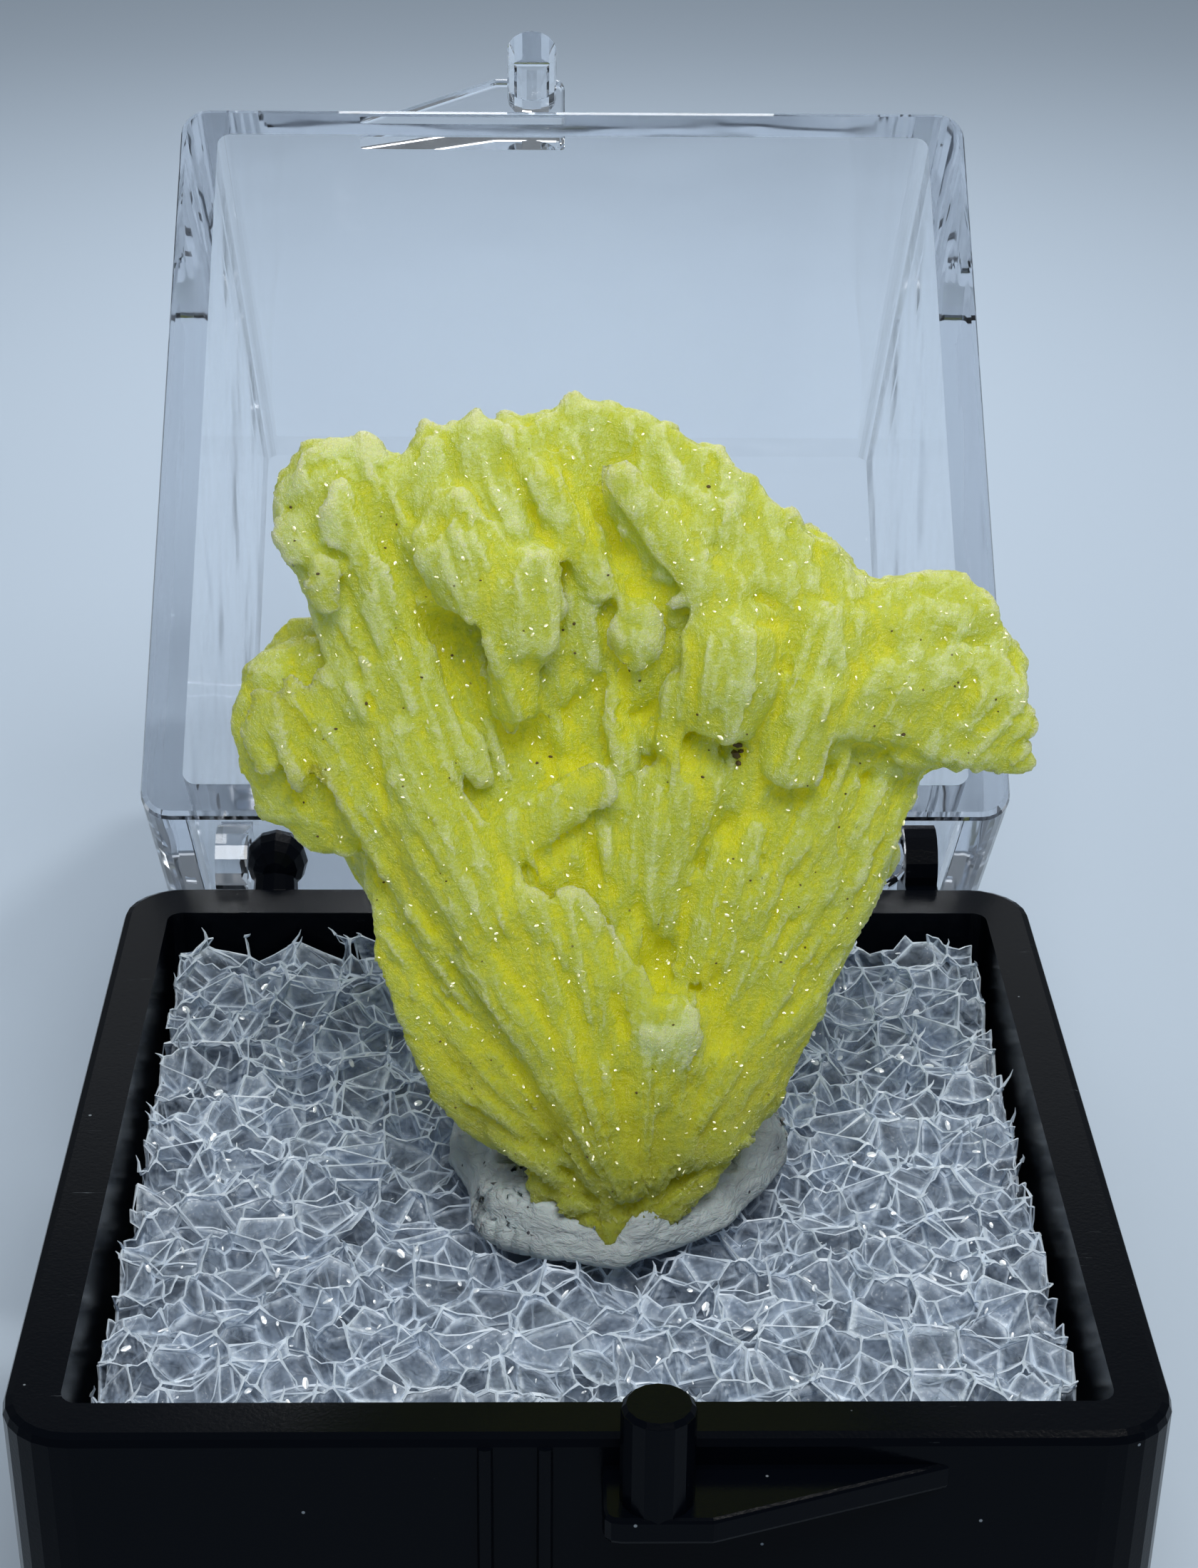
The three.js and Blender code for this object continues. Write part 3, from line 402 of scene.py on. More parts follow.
class Finish:
    """A material and the calls that build its nodes. Patterns are in millimetres of the object."""

    def __init__(self, name):
        self.material = bpy.data.materials.new(name)
        self.material.use_nodes = True
        self.tree = self.material.node_tree
        self.tree.nodes.clear()
        place = self.node("ShaderNodeTexCoord", {}, {}, "Object")
        self.place = self.node("ShaderNodeVectorMath", {"operation": "SCALE"}, {0: place, "Scale": 1 / MM})

    def node(self, kind, settings, sockets, output=0):
        made = self.tree.nodes.new(kind)
        for name, value in settings.items():
            setattr(made, name, value)
        for key, value in sockets.items():
            if isinstance(value, Value):
                self.tree.links.new(value.socket, made.inputs[key])
            else:
                made.inputs[key].default_value = value
        return Value(self, made.outputs[output])

    def stretched(self, scale, turn=(0, 0, 0)):
        turned = {"Vector": self.place, "Rotation": turn, "Scale": scale}
        return self.node("ShaderNodeMapping", {"vector_type": "POINT"}, turned)

    def noise(self, scale, detail=3.0, place=None, rough=0.5, distortion=0.0):
        sockets = {
            "Vector": place or self.place,
            "Scale": scale,
            "Detail": detail,
            "Roughness": rough,
            "Distortion": distortion,
        }
        return self.node("ShaderNodeTexNoise", {}, sockets)

    def cells(self, scale, output="Distance", feature="F1"):
        sockets = {"Vector": self.place, "Scale": scale}
        return self.node("ShaderNodeTexVoronoi", {"feature": feature}, sockets, output)

    def specks(self, scale, size, share):
        """Small round dots: a share of the cells of a Voronoi pattern holds one."""
        colour = self.cells(scale, "Color")
        chance = self.node("ShaderNodeSeparateColor", {}, {0: colour}, 0)
        return self.cells(scale).rise(size, size * 0.6) * chance.rise(1 - share, 1 - share + 0.001)

    def attribute(self, name):
        return self.node("ShaderNodeAttribute", {"attribute_name": name}, {}, "Fac")

    def axis(self, index):
        return self.node("ShaderNodeSeparateXYZ", {}, {0: self.place}, index)

    def mix(self, factor, first, second):
        sockets = {0: factor, 6: first, 7: second}
        return self.node("ShaderNodeMix", {"data_type": "RGBA"}, sockets, 2)

    def bump(self, height, distance, strength=1.0):
        sockets = {"Height": height, "Distance": distance * MM, "Strength": strength}
        return self.node("ShaderNodeBump", {}, sockets)

    def surface(self, sockets):
        return self.node("ShaderNodeBsdfPrincipled", {}, sockets)

    def done(self, surface, volume=None):
        output = {"Surface": surface}
        if volume:
            output["Volume"] = volume
        made = self.tree.nodes.new("ShaderNodeOutputMaterial")
        for key, value in output.items():
            self.tree.links.new(value.socket, made.inputs[key])
        return self.material


def colour(red, green, blue):
    return (red, green, blue, 1.0)


# Finishes
def black_plastic():
    """Glossy moulded black with faint flow, dust and hair-thin scratches; on the rim the lighter scratch
    lines are partly real scuffs and partly a painted highlight.
    """
    finish = Finish("black_plastic")
    flow = finish.noise(0.16, 2.0)
    grain = finish.noise(9.0, 4.0)
    dust = finish.specks(1.7, 0.1, 0.07)
    # Lighter scratch lines along the rim: partly real scuffs, partly a painted highlight of the rim
    scuff_and_highlight_lines = finish.noise(1.0, 5.0, finish.stretched((0.5, 7.0, 7.0), (0, 0, 0.35)), 0.7)
    rim = finish.axis(2).rise(RIM_Z - 0.9, RIM_Z - 0.1)
    scuffs_and_painted_highlight = scuff_and_highlight_lines.rise(0.66, 0.74) * rim * finish.noise(0.4, 1.0).rise(0.5, 0.6)
    # Dust is real; the lighter rim lines mixed in here are partly painted highlight
    wear_and_painted_highlight = (dust + scuffs_and_painted_highlight * 0.5).least(1.0)
    return finish.done(finish.surface({
        "Base Color": finish.mix(wear_and_painted_highlight, colour(0.0012, 0.002, 0.004), colour(0.2, 0.23, 0.26)),
        "Roughness": 0.13 + flow * 0.12 + wear_and_painted_highlight * 0.35,
        "IOR": 1.5,
        "Specular IOR Level": 0.06,
        "Normal": finish.bump(grain * 0.4 + flow, 0.03, 0.35),
    }))


def clear_plastic():
    """Clear moulded plastic with a cool cast in its thickness, faint smears and a slight unevenness."""
    finish = Finish("clear_plastic")
    smear = finish.noise(0.22, 4.0)
    uneven = finish.noise(0.12, 1.5)
    surface = finish.surface({
        "Base Color": colour(0.965, 0.98, 1.0),
        "Roughness": 0.015 + smear.rise(0.5, 0.75) * 0.07,
        "IOR": 1.55,
        "Transmission Weight": 1.0,
        "Normal": finish.bump(uneven, 0.25, 0.3),
    })
    cast = finish.node("ShaderNodeVolumeAbsorption", {}, {"Color": colour(0.6, 0.64, 0.71), "Density": 24.0})
    return finish.done(surface, cast)


def foam_wall():
    """Thin cell walls: half see-through bluish film with a wet-looking gloss."""
    finish = Finish("foam_wall")
    cloud = finish.noise(1.1, 1.0)
    wrinkle = finish.noise(3.0, 1.0)
    rim = (finish.attribute("rim") + (cloud - 0.5) * 0.4).rise(0.62, 1.02)
    return finish.done(finish.surface({
        "Base Color": finish.mix(rim, colour(0.5, 0.62, 0.8), colour(0.78, 0.88, 1.0)),
        "Roughness": 0.05 + cloud * 0.12,
        "IOR": 1.5,
        "Alpha": (0.08 + cloud.rise(0.3, 0.75) * 0.2 + rim * 0.4).least(1.0),
        "Normal": finish.bump(wrinkle, 0.35, 0.9),
    }))


def foam_strut():
    """Threads and torn edges where cell walls meet."""
    finish = Finish("foam_strut")
    cloud = finish.noise(1.4, 1.5)
    return finish.done(finish.surface({
        "Base Color": finish.mix(cloud, colour(0.56, 0.66, 0.8), colour(0.8, 0.9, 1.0)),
        "Roughness": 0.22 + cloud * 0.2,
        "IOR": 1.5,
    }))


def foam_inside():
    """The mass of small closed cells under the open ones, painted dark as the shade deep down in the open
    cells.
    """
    finish = Finish("foam_inside")
    edge = finish.cells(0.75, "Distance", "DISTANCE_TO_EDGE")
    threads = edge.rise(0.07, 0.01)
    cloud = finish.noise(0.5, 3.0)
    # Dark blue-grey tone: painted shade at the bottom of the cells
    shade = finish.mix(cloud, colour(0.15, 0.2, 0.28), colour(0.27, 0.33, 0.42))
    return finish.done(finish.surface({
        "Base Color": finish.mix(threads * 0.6, shade, colour(0.5, 0.57, 0.66)),
        "Roughness": 0.35 + cloud * 0.3,
        "Normal": finish.bump(threads, 0.3),
    }))


def putty_finish():
    """Matt light grey putty with smudges, fine wrinkles and dark grains picked up by handling."""
    finish = Finish("putty")
    smudge = finish.noise(0.55, 3.0, rough=0.6)
    wrinkle = finish.noise(1.6, 6.0, finish.stretched((1.0, 1.0, 2.2)), 0.6, 0.8)
    grains = finish.specks(3.0, 0.2, 0.1)
    clean = finish.mix(smudge.rise(0.45, 0.75), colour(0.52, 0.59, 0.6), colour(0.34, 0.38, 0.41))
    return finish.done(finish.surface({
        "Base Color": finish.mix(grains, clean, colour(0.06, 0.06, 0.07)),
        "Roughness": 0.55 + smudge * 0.25,
        "Subsurface Weight": 0.15,
        "Subsurface Scale": 0.5 * MM,
        "Normal": finish.bump(wrinkle, 0.35, 0.9),
    }))


def sulfur_finish():
    """Translucent sulfur: saturated in the hollows, frosted and paler on raised faces and along the edges of
    its leaves, paler higher up and a darker olive near the foot, partly its own tint and partly painted light
    from above, and a painted glow that is strongest in the hollows."""
    finish = Finish("sulfur")
    pale = finish.attribute("pale")
    raised = finish.attribute("raised")
    edge = finish.attribute("edge")
    along = finish.attribute("along")
    across = finish.attribute("across")
    fan = finish.node("ShaderNodeCombineXYZ", {}, {0: across * 7.0, 1: along * 0.7, 2: finish.axis(1) * 2.0})
    cloud = finish.noise(0.8, 2.0, rough=0.6)
    frost = finish.noise(5.0, 3.0, rough=0.8)
    streak = finish.noise(1.0, 3.0, fan, 0.75, 0.4)
    pits = finish.noise(11.0, 1.0, rough=0.6)
    # The rise of paleness with height is partly the crystal's own frost and partly painted light from above
    shade = pale + finish.axis(2) * 0.015 - 0.5 + (raised - 0.5) * 0.6 + (edge - 0.5) * 0.34
    shade = shade + (cloud - 0.5) * 0.4 + (frost - 0.5) * 0.9 + (streak - 0.5) * 0.45
    body = finish.mix(shade.rise(-0.1, 0.45), colour(0.78, 0.79, 0.002), colour(0.64, 0.72, 0.04))
    body = finish.mix(shade.rise(0.32, 0.98), body, colour(0.82, 0.93, 0.4))
    # Darker olive near the foot: partly the specimen's own tint and partly painted shade low down
    foot = finish.axis(2).rise(RIM_Z + 7.0, RIM_Z - 0.5)
    body = finish.mix(foot * 0.75, body, colour(0.27, 0.31, 0.03))
    grains = finish.specks(2.4, 0.12, 0.035)
    body = finish.mix(grains * 0.8, body, colour(0.16, 0.11, 0.01))
    bare = frost.rise(0.54, 0.66) * cloud.rise(0.35, 0.55)
    # Emission strongest in the hollows and weaker near the foot: a painted glow standing in for light shining
    # through the crystal
    painted_glow = (0.62 - shade).rise(0.0, 0.8) * (1 - foot * 0.6)
    return finish.done(finish.surface({
        "Base Color": body,
        "Roughness": (0.4 + (pits - 0.5) * 0.4 - bare * 0.28).most(0.08),
        "IOR": 1.9,
        "Specular IOR Level": 0.55,
        "Coat Weight": bare * 0.35,
        "Coat Roughness": 0.08,
        "Subsurface Weight": 1.0,
        "Subsurface Radius": (1.0, 0.92, 0.14),
        "Subsurface Scale": MM,
        "Emission Color": finish.mix(painted_glow, colour(0.0, 0.0, 0.0), colour(0.8, 0.78, 0.0)),
        "Emission Strength": 0.09,
        "Normal": finish.bump(frost + streak * 0.4 + pits * 0.4, 0.22),
    }))


def table_top():
    """Plain pale floor."""
    finish = Finish("table_top")
    return finish.done(finish.surface({
        "Base Color": colour(0.53, 0.63, 0.75),
        "Roughness": 0.6,
        "Specular IOR Level": 0.2,
    }))


def grit_finish():
    """Brown specks of the rock and the one larger rough inclusion."""
    finish = Finish("grit")
    cloud = finish.noise(6.0, 3.0)
    return finish.done(finish.surface({
        "Base Color": finish.mix(cloud, colour(0.035, 0.02, 0.006), colour(0.16, 0.1, 0.03)),
        "Roughness": 0.45 + cloud * 0.3,
        "Normal": finish.bump(cloud, 0.05, 0.6),
    }))


def glint_finish(name, dim, bright):
    """Tiny bare facets, glossier than what lies round them."""
    finish = Finish(name)
    cloud = finish.noise(5.0, 2.0)
    return finish.done(finish.surface({
        "Base Color": finish.mix(cloud, dim, bright),
        "Roughness": 0.04 + cloud * 0.08,
        "IOR": 1.95,
    }))


# Helpers of all pieces
def mesh_object(name, bm, finishes, smooth=False):
    """A new object of the scene, made from a bmesh that goes with it."""
    mesh = bpy.data.meshes.new(name)
    bm.to_mesh(mesh)
    bm.free()
    for material in finishes:
        mesh.materials.append(material)
    piece = bpy.data.objects.new(name, mesh)
    bpy.context.scene.collection.objects.link(piece)
    for polygon in mesh.polygons:
        polygon.use_smooth = smooth
    return piece


def applied(piece, keep=True):
    """What the piece's modifiers or curve give, as its own mesh; without keep the piece itself goes."""
    bpy.context.view_layer.update()
    depsgraph = bpy.context.evaluated_depsgraph_get()
    made = bpy.data.meshes.new_from_object(piece.evaluated_get(depsgraph), depsgraph=depsgraph)
    if keep:
        piece.modifiers.clear()
        piece.data = made
    else:
        bpy.data.objects.remove(piece)
    return made


def solid_copy(node):
    """A CAD node's mesh with its loose triangles joined, in millimetres."""
    bm = bmesh.new()
    bm.from_mesh(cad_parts[node].data)
    bm.transform(Matrix.Scale(1 / MM, 4))
    bmesh.ops.remove_doubles(bm, verts=bm.verts, dist=0.001)
    return bm


def remeshed(piece, voxel, softening):
    """The piece's own mesh, made one even skin and softened by rounds of smoothing."""
    skin = piece.modifiers.new("skin", "REMESH")
    skin.mode = "VOXEL"
    skin.voxel_size = voxel
    skin.use_smooth_shade = True
    even = piece.modifiers.new("even", "SMOOTH")
    even.factor = 0.5
    even.iterations = softening
    return applied(piece)


def joined_in(bm, part):
    """Adds a small mesh to a large one and drops the small one."""
    carried = bpy.data.meshes.new("carried")
    part.to_mesh(carried)
    part.free()
    bm.from_mesh(carried)
    bpy.data.meshes.remove(carried)


def flake_direction(place):
    """Half way between the front view and the main light, from a place."""
    to_view = (CAMERA_PLACE - place).normalized()
    to_light = (Vector(KEY_PLACE) - place).normalized()
    return (to_view + to_light).normalized()


def small_bits(name, finish, places, faced, rng):
    """Small angular bits at places with a radius. Faced ones are thin flakes that lie so as to catch the main
    light, more or less, and the others are crumbs turned any way."""
    bits = bmesh.new()
    for place, radius in places:
        bit = bmesh.new()
        bmesh.ops.create_icosphere(bit, subdivisions=1, radius=radius)
        spin = Matrix.Rotation(rng.uniform(0, math.tau), 4, "Z")
        if faced:
            place = place + flake_direction(place) * FLAKE_LIFT * radius
            leaning = flake_direction(place) + Vector([rng.gauss(0, FLAKE_SWAY) for _ in range(3)])
            turn = leaning.to_track_quat("Z", "Y").to_matrix().to_4x4() @ spin
            shape = Matrix.Diagonal((1.0, rng.uniform(0.2, 0.7), FLAKE_THINNESS, 1.0))
        else:
            turn = spin @ Matrix.Rotation(rng.uniform(0, math.tau), 4, "X")
            shape = Matrix.Diagonal((1.0, rng.uniform(0.5, 0.9), CRUMB_THINNESS, 1.0))
        bit.transform(Matrix.Translation(place) @ turn @ shape)
        joined_in(bits, bit)
    bits.transform(Matrix.Scale(MM, 4))
    piece = mesh_object(name, bits, [finish])
    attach(piece, "box")


# Foam
def foam_seeds(rng):
    """Cell centres on a jittered, staggered grid that reaches past the block on every side."""
    seeds = []
    layers = int(FOAM_CELLS_DEPTH / FOAM_CELL) + 2
    across = int(2 * FOAM_HALF_X / FOAM_CELL) + 3
    for layer in range(layers):
        z = FOAM_TOP_Z + 0.6 * FOAM_CELL - layer * FOAM_CELL
        for i in range(across):
            for j in range(across):
                x = (i - across / 2 + 0.5 * (layer % 2)) * FOAM_CELL * FOAM_STAGGER
                y = (j - across / 2 + 0.5 * (layer % 2)) * FOAM_CELL
                jitter = Vector([rng.uniform(-FOAM_JITTER, FOAM_JITTER) * FOAM_CELL for _ in range(3)])
                seeds.append(Vector((x, y, z)) + jitter)
    return seeds


def cut_off(bm, place, away):
    """Cuts off what lies past a plane and gives the edges along the cut."""
    cut = bmesh.ops.bisect_plane(
        bm,
        geom=bm.verts[:] + bm.edges[:] + bm.faces[:],
        dist=CUT_DISTANCE,
        plane_co=place,
        plane_no=away,
        clear_outer=True,
    )
    return [item for item in cut["geom_cut"] if isinstance(item, bmesh.types.BMEdge)]


def foam_net(seeds):
    """The walls between neighbouring cells, each once, as one net of faces in millimetres."""
    grid = {}
    for index, seed in enumerate(seeds):
        grid.setdefault(tuple(int(c // FOAM_REACH) for c in seed), []).append(index)
    net = bmesh.new()
    for index, seed in enumerate(seeds):
        over_side = abs(seed.x) > FOAM_HALF_X + FOAM_MARGIN
        if over_side or not FOAM_FRONT_Y - FOAM_MARGIN < seed.y < FOAM_BACK_Y + FOAM_MARGIN:
            continue
        home = [int(c // FOAM_REACH) for c in seed]
        near = []
        for step in product((-1, 0, 1), repeat=3):
            near += grid.get(tuple(h + s for h, s in zip(home, step)), [])
        near = sorted((i for i in near if i != index), key=lambda i: (seeds[i] - seed).length_squared)
        cell = bmesh.new()
        bmesh.ops.create_cube(cell, size=FOAM_BLANK, matrix=Matrix.Translation(seed))
        for other in near:
            away = seeds[other] - seed
            widest = max((v.co - seed).length for v in cell.verts)
            if away.length > 2 * widest:
                break
            edges = cut_off(cell, (seed + seeds[other]) / 2, away)
            if edges:
                bmesh.ops.contextual_create(cell, geom=edges)
        copied = {vert: net.verts.new(vert.co) for vert in cell.verts}
        for face in cell.faces:
            net.faces.new([copied[vert] for vert in face.verts])
        cell.free()
    bmesh.ops.remove_doubles(net, verts=net.verts[:], dist=WELD_DISTANCE)
    return net


def torn_top(x, y):
    """How high the torn face of the foam reaches at a place, lower round the putty."""
    away = Vector((x - PUTTY_CENTRE[0], y - PUTTY_CENTRE[1])).length
    pressed = max(0.0, 1 - (away / PUTTY_REACH) ** 4) * FOAM_PRESSED
    rise = FOAM_BACK_RISE * min(1.0, max(0.0, (y - 4.0) / 8.0))
    uneven = FOAM_UNEVENNESS * noise.noise(Vector((x, y, 0)) * 0.45)
    return min(FOAM_TOP_Z + rise + uneven - pressed, FOAM_HIGHEST_Z - FOAM_TIP_ROOM)


def foam_cells(rng):
    """The net of cell walls within the block's sides, from the torn face down to its depth."""
    net = foam_net(foam_seeds(rng))
    for vert in net.verts:
        vert.co.z -= torn_top(vert.co.x, vert.co.y)
    for place, away in (
        ((0, 0, 0), (0, 0, 1)),
        ((0, 0, -FOAM_CELLS_DEPTH), (0, 0, -1)),
        ((FOAM_HALF_X, 0, 0), (1, 0, 0)),
        ((-FOAM_HALF_X, 0, 0), (-1, 0, 0)),
        ((0, FOAM_BACK_Y, 0), (0, 1, 0)),
        ((0, FOAM_FRONT_Y, 0), (0, -1, 0)),
    ):
        cut_off(net, place, away)
    for vert in net.verts:
        vert.co.z += torn_top(vert.co.x, vert.co.y)
    return net


def at_top(vert):
    return vert.co.z > torn_top(vert.co.x, vert.co.y) - 0.01


def sag_between(net, corners):
    """Lets the torn upper edges of the walls hang down between the corners."""
    nearest = KDTree(len(corners))
    for index, corner in enumerate(corners):
        nearest.insert(corner, index)
    nearest.balance()
    upper = [edge for edge in net.edges if all(at_top(vert) for vert in edge.verts)]
    long_ones = [edge for edge in upper if edge.calc_length() > FOAM_LEVEL_EDGE]
    bmesh.ops.subdivide_edges(net, edges=long_ones, cuts=3)
    for vert in net.verts:
        if at_top(vert):
            away = nearest.find(vert.co)[2]
            sag = 1 - math.exp(-((away / 0.4) ** 2))
            vert.co.z -= sag * (0.3 + 0.35 * noise.noise(vert.co * 0.8))


def thread_lines(net, corners, rng):
    """Threads along the upper edges of the cells, and torn tips, as lines of (place, radius)."""
    lines = []
    for edge in net.edges:
        depth = min(torn_top(vert.co.x, vert.co.y) - vert.co.z for vert in edge.verts)
        if edge.calc_length() < FOAM_SHORT_THREAD or depth > FOAM_THREADS_DEPTH:
            continue
        thickness = rng.uniform(0.6, 1.0)
        start, end = (vert.co.copy() for vert in edge.verts)
        radii = [thickness * (FOAM_KNOT if len(vert.link_edges) > 3 else FOAM_THREAD) for vert in edge.verts]
        line = [(start, radii[0])]
        if edge.calc_length() > FOAM_LONG_THREAD:
            middle = start.lerp(end, 0.5)
            middle += noise.noise_vector(middle * 1.7) * FOAM_BEND
            middle.z = min(middle.z, FOAM_HIGHEST_Z)
            line.append((middle, FOAM_THREAD_WAIST * thickness))
        lines.append(line + [(end, radii[1])])
    for corner in corners:
        if rng.random() < FOAM_TORN_TIPS:
            tip = corner + Vector((rng.uniform(-0.3, 0.3), rng.uniform(-0.3, 0.3), rng.uniform(0.1, 0.6)))
            tip.z = min(tip.z, FOAM_HIGHEST_Z)
            bend = corner.lerp(tip, 0.6) + Vector((0.04, 0, 0))
            lines.append([(corner, 0.07), (bend, 0.035), (tip, 0.008)])
    return lines


def strands(lines):
    """Four-sided strands along lines of (place, radius)."""
    data = bpy.data.curves.new("strands", "CURVE")
    data.dimensions = "3D"
    data.bevel_depth = 1.0
    data.bevel_resolution = 0
    data.use_fill_caps = True
    for line in lines:
        spline = data.splines.new("POLY")
        spline.points.add(len(line) - 1)
        for point, (place, radius) in zip(spline.points, line):
            point.co = (*place, 1.0)
            point.radius = radius
    holder = bpy.data.objects.new("strands", data)
    bpy.context.scene.collection.objects.link(holder)
    mesh = applied(holder, keep=False)
    made = bmesh.new()
    made.from_mesh(mesh)
    bpy.data.meshes.remove(mesh)
    bpy.data.curves.remove(data)
    return made


def made_films(net, rng):
    """Turns each wall of the net into a thin closed film of its own, bulged in the middle."""
    slivers = [face for face in net.faces if face.calc_area() < FOAM_SLIVER]
    bmesh.ops.delete(net, geom=slivers, context="FACES")
    bmesh.ops.split_edges(net, edges=net.edges[:])
    rim = net.verts.layers.float.new("rim")
    for vert in net.verts:
        vert[rim] = 1.0
    for centre in bmesh.ops.poke(net, faces=net.faces[:])["verts"]:
        centre[rim] = 0.0
    net.normal_update()
    for vert in net.verts:
        if not vert.is_boundary:
            vert.co += vert.normal * rng.uniform(-FOAM_BULGE, FOAM_BULGE)
    made = bmesh.ops.extrude_face_region(net, geom=net.faces[:], use_keep_orig=True)["geom"]
    net.normal_update()
    for vert in made:
        if isinstance(vert, bmesh.types.BMVert):
            vert.co += vert.normal * FOAM_FILM
    bmesh.ops.recalc_face_normals(net, faces=net.faces[:])


def foam_body():
    """The closed lower body, with an uneven skin."""
    body = bmesh.new()
    height = FOAM_TOP_Z - FOAM_CELLS_DEPTH - FOAM_FOOT_Z
    centre = ((FOAM_BACK_Y + FOAM_FRONT_Y) / 2, FOAM_FOOT_Z + height / 2)
    size = (2 * FOAM_HALF_X - FOAM_BODY_INSET, FOAM_BACK_Y - FOAM_FRONT_Y - FOAM_BODY_INSET, height)
    bmesh.ops.create_cube(body, size=1.0)
    bmesh.ops.scale(body, vec=size, verts=body.verts)
    bmesh.ops.translate(body, vec=(0, centre[0], centre[1]), verts=body.verts)
    bmesh.ops.subdivide_edges(body, edges=body.edges[:], cuts=FOAM_BODY_CUTS, use_grid_fill=True)
    for vert in body.verts:
        vert.co += vert.normal * FOAM_BODY_RELIEF * noise.noise(vert.co * 0.9)
    return body


def foam_piece():
    """Cut-open cells: walls with threads where they meet, torn and sagging at the top, over a closed body."""
    rng = random.Random(11)
    net = foam_cells(rng)
    corners = [vert.co.copy() for vert in net.verts if at_top(vert)]
    sag_between(net, corners)
    threads = strands(thread_lines(net, corners, rng))
    threads.transform(Matrix.Scale(MM, 4))
    threads_piece = mesh_object("foam_threads", threads, [foam_strut()])
    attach(threads_piece, "box")

    made_films(net, rng)
    before = len(net.faces)
    joined_in(net, foam_body())
    net.faces.ensure_lookup_table()
    for face in net.faces[before:]:
        face.material_index = 1
    net.transform(Matrix.Scale(MM, 4))
    piece = mesh_object("foam", net, [foam_wall(), foam_inside()])
    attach(piece, "box")
    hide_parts("foam_block")

    flakes = []
    while len(flakes) < FOAM_FLAKES:
        x = rng.uniform(-FOAM_HALF_X + 0.3, FOAM_HALF_X - 0.3)
        y = rng.uniform(FOAM_FRONT_Y + 0.3, FOAM_BACK_Y - 0.3)
        if Vector((x - PUTTY_CENTRE[0], y - PUTTY_CENTRE[1])).length > PUTTY_REACH:
            flakes.append((Vector((x, y, torn_top(x, y) - rng.uniform(0.05, 0.4))), rng.uniform(0.05, 0.2)))
    shine = glint_finish("foam_shine", colour(0.7, 0.8, 0.92), colour(0.92, 0.96, 1.0))
    small_bits("foam_flakes", shine, flakes, True, rng)


# Putty
def putty_piece():
    """The pressed lump, remeshed, with finger-worn folds running round it and fine wrinkles."""
    piece = mesh_object("putty_lump", solid_copy("putty"), [putty_finish()])
    mesh = remeshed(piece, PUTTY_VOXEL, PUTTY_SOFTENING)
    for vert in mesh.vertices:
        place = Vector((vert.co.x - PUTTY_CENTRE[0], vert.co.y - PUTTY_CENTRE[1], vert.co.z))
        round_it = math.atan2(place.y, place.x)
        away = math.hypot(place.x, place.y)
        folds = noise.noise(Vector((math.cos(round_it) * 2.2, math.sin(round_it) * 2.2, away * 0.5)))
        rolls = noise.noise(Vector((round_it * 1.3, away * 1.9, vert.co.z * 1.9)))
        wrinkles = noise.noise(Vector((round_it * 3.0, vert.co.z * 5.0, away * 4.0)))
        vert.co += vert.normal * (PUTTY_FOLDS * folds + PUTTY_ROLLS * rolls + PUTTY_WRINKLES * wrinkles)
    for vert in mesh.vertices:
        vert.co *= MM
    mesh.update()
    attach(piece, "box")
    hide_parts("putty")


# Specimen
def specimen_point(u, v, w):
    """A point of the leaning plane, in millimetres of the object frame."""
    turned = Matrix.Rotation(-LEAN_BACK, 3, "X") @ Vector((u, -w, v))
    return turned + FOOT


def specimen_direction(u, v, w):
    """A direction of the leaning plane."""
    return specimen_point(u, v, w) - specimen_point(0, 0, 0)


def front_places(places, surface):
    """Where u v places meet the front of the specimen, each with its radius."""
    inwards = specimen_direction(0, 0, -1)
    found = []
    for u, v, radius in places:
        hit = surface.ray_cast(specimen_point(u, v, CAST_FROM), inwards)[0]
        if hit:
            found.append((hit, radius))
    return found


def leaf(bm, foot, tip, width, thickness, turn, bluntness, rounds):
    """A blunt flattened crystal from foot to tip."""
    start = specimen_point(*foot)
    end = specimen_point(*tip)
    along = end - start
    axis = along.normalized()
    across = axis.cross(specimen_direction(0, 0, 1)).normalized()
    outwards = across.cross(axis)
    half = Vector((width / 2, thickness / 2, along.length / 2))
    made = bmesh.new()
    bmesh.ops.create_icosphere(made, subdivisions=rounds, radius=1.0)
    for vert in made.verts:
        lens = (abs(vert.co.x) ** LEAF_EDGE + abs(vert.co.y) ** LEAF_EDGE) ** (bluntness / LEAF_EDGE)
        fullness = (lens + abs(vert.co.z) ** bluntness) ** (-1 / bluntness)
        vert.co = Vector([c * fullness * h for c, h in zip(vert.co, half)])
    frame_turn = Matrix((across, outwards, axis)).transposed().to_4x4()
    place = Matrix.Translation((start + end) / 2) @ frame_turn @ Matrix.Rotation(math.radians(turn), 4, "Z")
    made.transform(place)
    for vert in made.verts:
        vert.co += noise.noise_vector(vert.co * 1.4) * LEAF_CHIPS * min(1.0, width)
    joined_in(bm, made)


def fan_direction(u, v):
    """Where the blades point at a place: out from the foot, leaning left in the middle of the crest."""
    out = Vector((u - FAN_ROOT[0], v - FAN_ROOT[1])).normalized()
    lean = 0.42 * math.exp(-((u / 3.2) ** 2) - ((v - 22.5) / 3.0) ** 2)
    return Vector((out.x - lean, out.y)).normalized()


